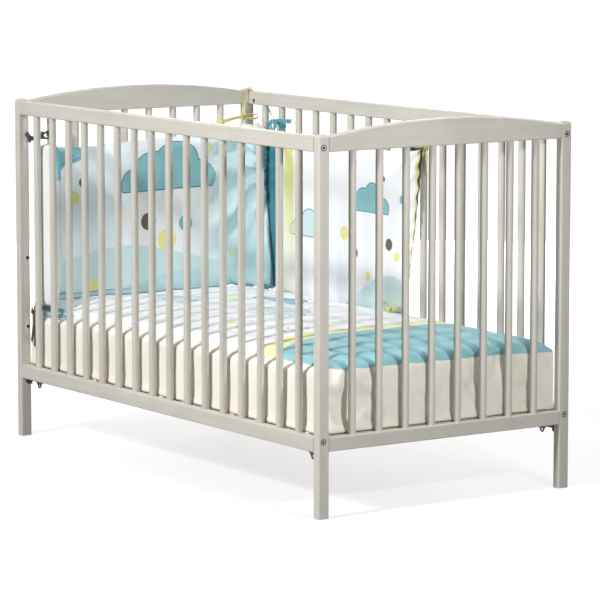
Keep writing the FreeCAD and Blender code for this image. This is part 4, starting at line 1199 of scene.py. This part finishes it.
# each strand: points of (x, y, z, turn, rise) in millimetres and degrees
RIBBONS = (
    ("ribbon_head_front_top", dark_satin, "dark_ribbon", "head_front_top_tie", "hung", ["head_bars"], [
        round_bar(-610, -233.8, 695.5, start=-60),
        [(-603.5, -242, 705, 0, 60), (-600, -248, 706, -34, 25), (-599, -257, 702.5, -34, 20),
         (-598, -264, 697, -34, 60)],
        [(-603.5, -242, 692.5, 0, 60), (-600, -248, 691.2, -34, 20), (-599, -257, 690.5, -34, 20),
         (-598, -264, 694, -34, 60)],
        knot(-598, -264.8, 695, 0, 80),
        [(-598, -265, 696, 70, 10), (-597.5, -265.5, 701, 70, 10), (-597.5, -264, 706.5, 80, 0)],
        [(-598, -265, 693, 0, 60), (-597.5, -275, 690.5, 0, 75), (-596.5, -286, 691.2, -20, 70),
         (-594.2, -296, 693.5, -20, 75)],
        [(-594.2, -295.5, 693.5, 90, 50), (-593.8, -300.5, 696.5, 90, -40), (-593.6, -305.5, 703, 90, -20),
         (-593.6, -306.8, 706.2, 90, -10)],
        [(-594.2, -295.5, 692.5, 90, 60), (-593.8, -299.5, 689.5, 90, 30), (-593.8, -301.2, 685, 90, 10)],
    ]),
    ("ribbon_head_back_top", yellow_satin, "yellow_ribbon", "head_back_top_tie", "hung",
     ["head_bars", "post_head_back"], [
        round_bar(-610, 233.8, 704, start=60),
        [(-603.5, 241, 708.5, 0, 60), (-598, 253, 712.5, -34, 45), (-593, 269, 716.5, -34, 35),
         (-589, 282, 717.5, -34, 45)],
        knot(-589, 282.5, 717.5, 0, 75),
        [(-589, 282.5, 718, -34, 20), (-574, 284.5, 721.5, -34, 25), (-556, 286.5, 726.2, -34, 20),
         (-536, 288.5, 727.5, -34, 10), (-528, 288.5, 723.2, -34, 0), (-538, 287.5, 717.8, -34, 20),
         (-562, 286, 715, -34, 25), (-589, 282.5, 716.5, -34, 20)],
        [(-589, 282.5, 718, -10, 10), (-588.5, 284, 735, -10, 0), (-589, 288, 757, -50, 0),
         (-589.5, 293, 776.5, -50, 0), (-590.5, 298.5, 784.5, -30, 0), (-594, 304.5, 786.8, -20, 0),
         (-599, 310, 786.8, -20, 0)],
        [(-589, 282.5, 716.5, -34, 10), (-586.5, 279, 708, -34, 0), (-585, 275.5, 696, -60, 0)],
    ]),
    ("ribbon_join_top", teal_satin, "teal_ribbon", "join_top_tie", "hung", ["back_bars"], [
        round_bar(-462.8, 313, 702, start=-80),
        [(-461.2, 300.8, 708, 0, 80), (-461.5, 299, 710, 0, 50), (-462, 294.5, 713, 0, 30)],
        knot(-462, 293, 713.5, 20, 50, 4.2),
        [(-462, 293, 714.5, -34, 10), (-470, 292.5, 723.5, -34, 5), (-482, 292.5, 734.5, -20, 0),
         (-492.5, 293.5, 745.5, -20, 10)],
        [(-462, 293, 714, 0, 10), (-471.5, 290, 718, 10, 10), (-477.5, 288, 708.5, 15, 0),
         (-471.5, 286.2, 695, 10, 0), (-460, 286.5, 694.5, 0, 0), (-457, 289, 704, 0, 0),
         (-461, 292, 712.5, 0, 0)],
        [(-461, 292, 714, 0, 0), (-453, 289, 712, -20, 10), (-445, 287.2, 702, -20, 10),
         (-437, 286.5, 689, -30, 10)],
        [(-461, 293, 715, 0, 60), (-445, 292.5, 719.5, -34, 60), (-420, 292.5, 717, -34, 70),
         (-396, 294.5, 719.5, -34, 75)],
        [(-461, 293, 712.5, -34, 20), (-480, 292.5, 709.8, -34, 15), (-499, 294, 707.8, -34, 10)],
    ]),
    ("ribbon_back_foot_top", dark_satin, "dark_ribbon", "back_foot_top_tie", "hung", ["back_bars"], [
        round_bar(106.8, 313, 688, start=-100),
        [(104, 304, 690, 0, 70), (98, 297, 689.5, 0, 60), (91.5, 291.5, 688.5, 0, 50)],
        knot(90.5, 290.5, 688, 0, 75),
    ]),
    ("ribbon_back_foot_trim", yellow_satin, "yellow_ribbon", None, "hung", ["back_pad"], [
        knot(137, 296.8, 697, 0, 70),
        [(137, 296, 697.5, -34, 20), (120, 290.5, 701.5, -34, 40), (93, 289, 698.5, -34, 40),
         (78, 291.5, 695, -34, 20), (92, 292.5, 693, -34, 20), (118, 293.5, 694.5, -34, 20),
         (137, 295.5, 696, -34, 20)],
        [(137, 295.5, 696, -34, 0), (144, 293.5, 690, -20, 0), (146.2, 292, 673, -10, 0),
         (146.5, 292.5, 644, -30, 0)],
        [(137, 296, 695.5, -60, 0), (133, 293, 688, -60, 0), (134.5, 291.5, 676, -50, 0)],
    ]),
    ("ribbon_head_front_hanging", dark_satin, "dark_ribbon", "head_front_hanging_tie", "hung", ["head_pad"],
     [
        [(-572, -298.5, 319, 0, 30), (-556, -300, 312.5, 0, 45), (-540, -300.5, 306, 0, 50),
         (-520, -300, 306.5, 0, 50), (-500, -299, 308.5, 0, 40)],
        [(-562, -300.2, 333, 0, 0), (-569, -300.8, 312, -12, 0), (-578.5, -300.6, 292, -12, 0)],
        knot(-580, -299, 288.5, -8, 40, 2.4),
        [(-580, -300.6, 289, -12, 0), (-585.5, -300.8, 294.5, -12, 20), (-588.5, -300.8, 301, -12, 20)],
        [(-580, -300.6, 289, -12, 0), (-587.5, -300.9, 289, -12, 50), (-590.5, -300.9, 294.5, -12, 40)],
        [(-580, -300.8, 288, -12, 0), (-576.2, -301, 268, -12, 0), (-575.2, -301, 240, -12, 0),
         (-576.7, -301, 212, -12, 0)],
        [(-580, -300.8, 288, -12, 0), (-578.5, -301.1, 264, -12, 0), (-584, -301.1, 245, -14, 0),
         (-590.5, -301.1, 223, -14, 0)],
    ]),
    ("ribbon_front_lying", pale_satin, "teal_ribbon", "front_lying_bow", "laid", ["fitted_sheet_cloth"], [
        knot(-512, -288, 299, 0, 30, 4.2),
        [(-512, -289, 301, 0, 70), (-528, -290.5, 303.5, 0, 80), (-546, -290.5, 301.5, 0, 80),
         (-560, -292.8, 295, 0, 70), (-552, -293.5, 290, 0, 65), (-532, -292.5, 289.5, 0, 65),
         (-512, -290, 294.5, 0, 60)],
        [(-512, -289, 301, 0, 70), (-494, -290, 304.5, 0, 80), (-476, -289, 305, 0, 80),
         (-458, -286, 305.5, 0, 70), (-446, -283, 304, 0, 50)],
        [(-512, -289.5, 298, 0, 60), (-492, -293.5, 291.5, 0, 70), (-474, -293.5, 292.5, 0, 65),
         (-457, -290, 296.5, 0, 60)],
    ]),
    ("ribbon_join_lying", teal_satin, "teal_ribbon", "join_lying_bow", "laid", ["fitted_sheet_cloth"], [
        knot(-462, 279, 322.5, 0, 20, 4.2),
        [(-462, 279, 322.5, -90, 20), (-474, 270, 327.5, -60, 30), (-492, 262, 324.5, -60, 10),
         (-480, 268, 320.5, -60, 0), (-463, 278, 321.5, -90, 10)],
        [(-462, 279, 322.5, -60, 20), (-446, 269, 326.5, -50, 30), (-424, 263, 325.5, -50, 20),
         (-436, 268, 321, -50, 0), (-460, 278, 321.5, -60, 10)],
        [(-462, 278, 322.5, -60, 10), (-440, 263, 321.5, -50, 5), (-410, 259, 321.5, -70, 5),
         (-377, 261, 321, -80, 5)],
    ]),
    ("ribbon_back_lying", yellow_satin, "yellow_ribbon", "back_lying_bow", "laid", ["fitted_sheet_cloth"], [
        knot(45, 262, 324.8, 60, 10, 3.6),
        [(45, 262, 324, -34, 0), (34, 260, 334.5, -34, 0), (19, 261, 341.5, -30, 0),
         (8, 263.5, 339, -30, 0), (18, 264, 329, -34, 0), (43, 262, 322, -34, 0)],
        [(46, 262, 324, -34, 0), (58, 260, 333, -34, 0), (73, 261, 337.5, -40, 0), (83, 263, 333, -40, 0),
         (73, 263.5, 325.5, -34, 0), (48, 262, 322, -34, 0)],
        [(45, 261.5, 322, -70, 5), (56, 256, 321.2, -60, 5), (69, 252, 321.2, -50, 5)],
    ]),
)
for name, satin, slot, member, held, rests_on, strands in RIBBONS:
    make_ribbon(name, strands, satin, member)
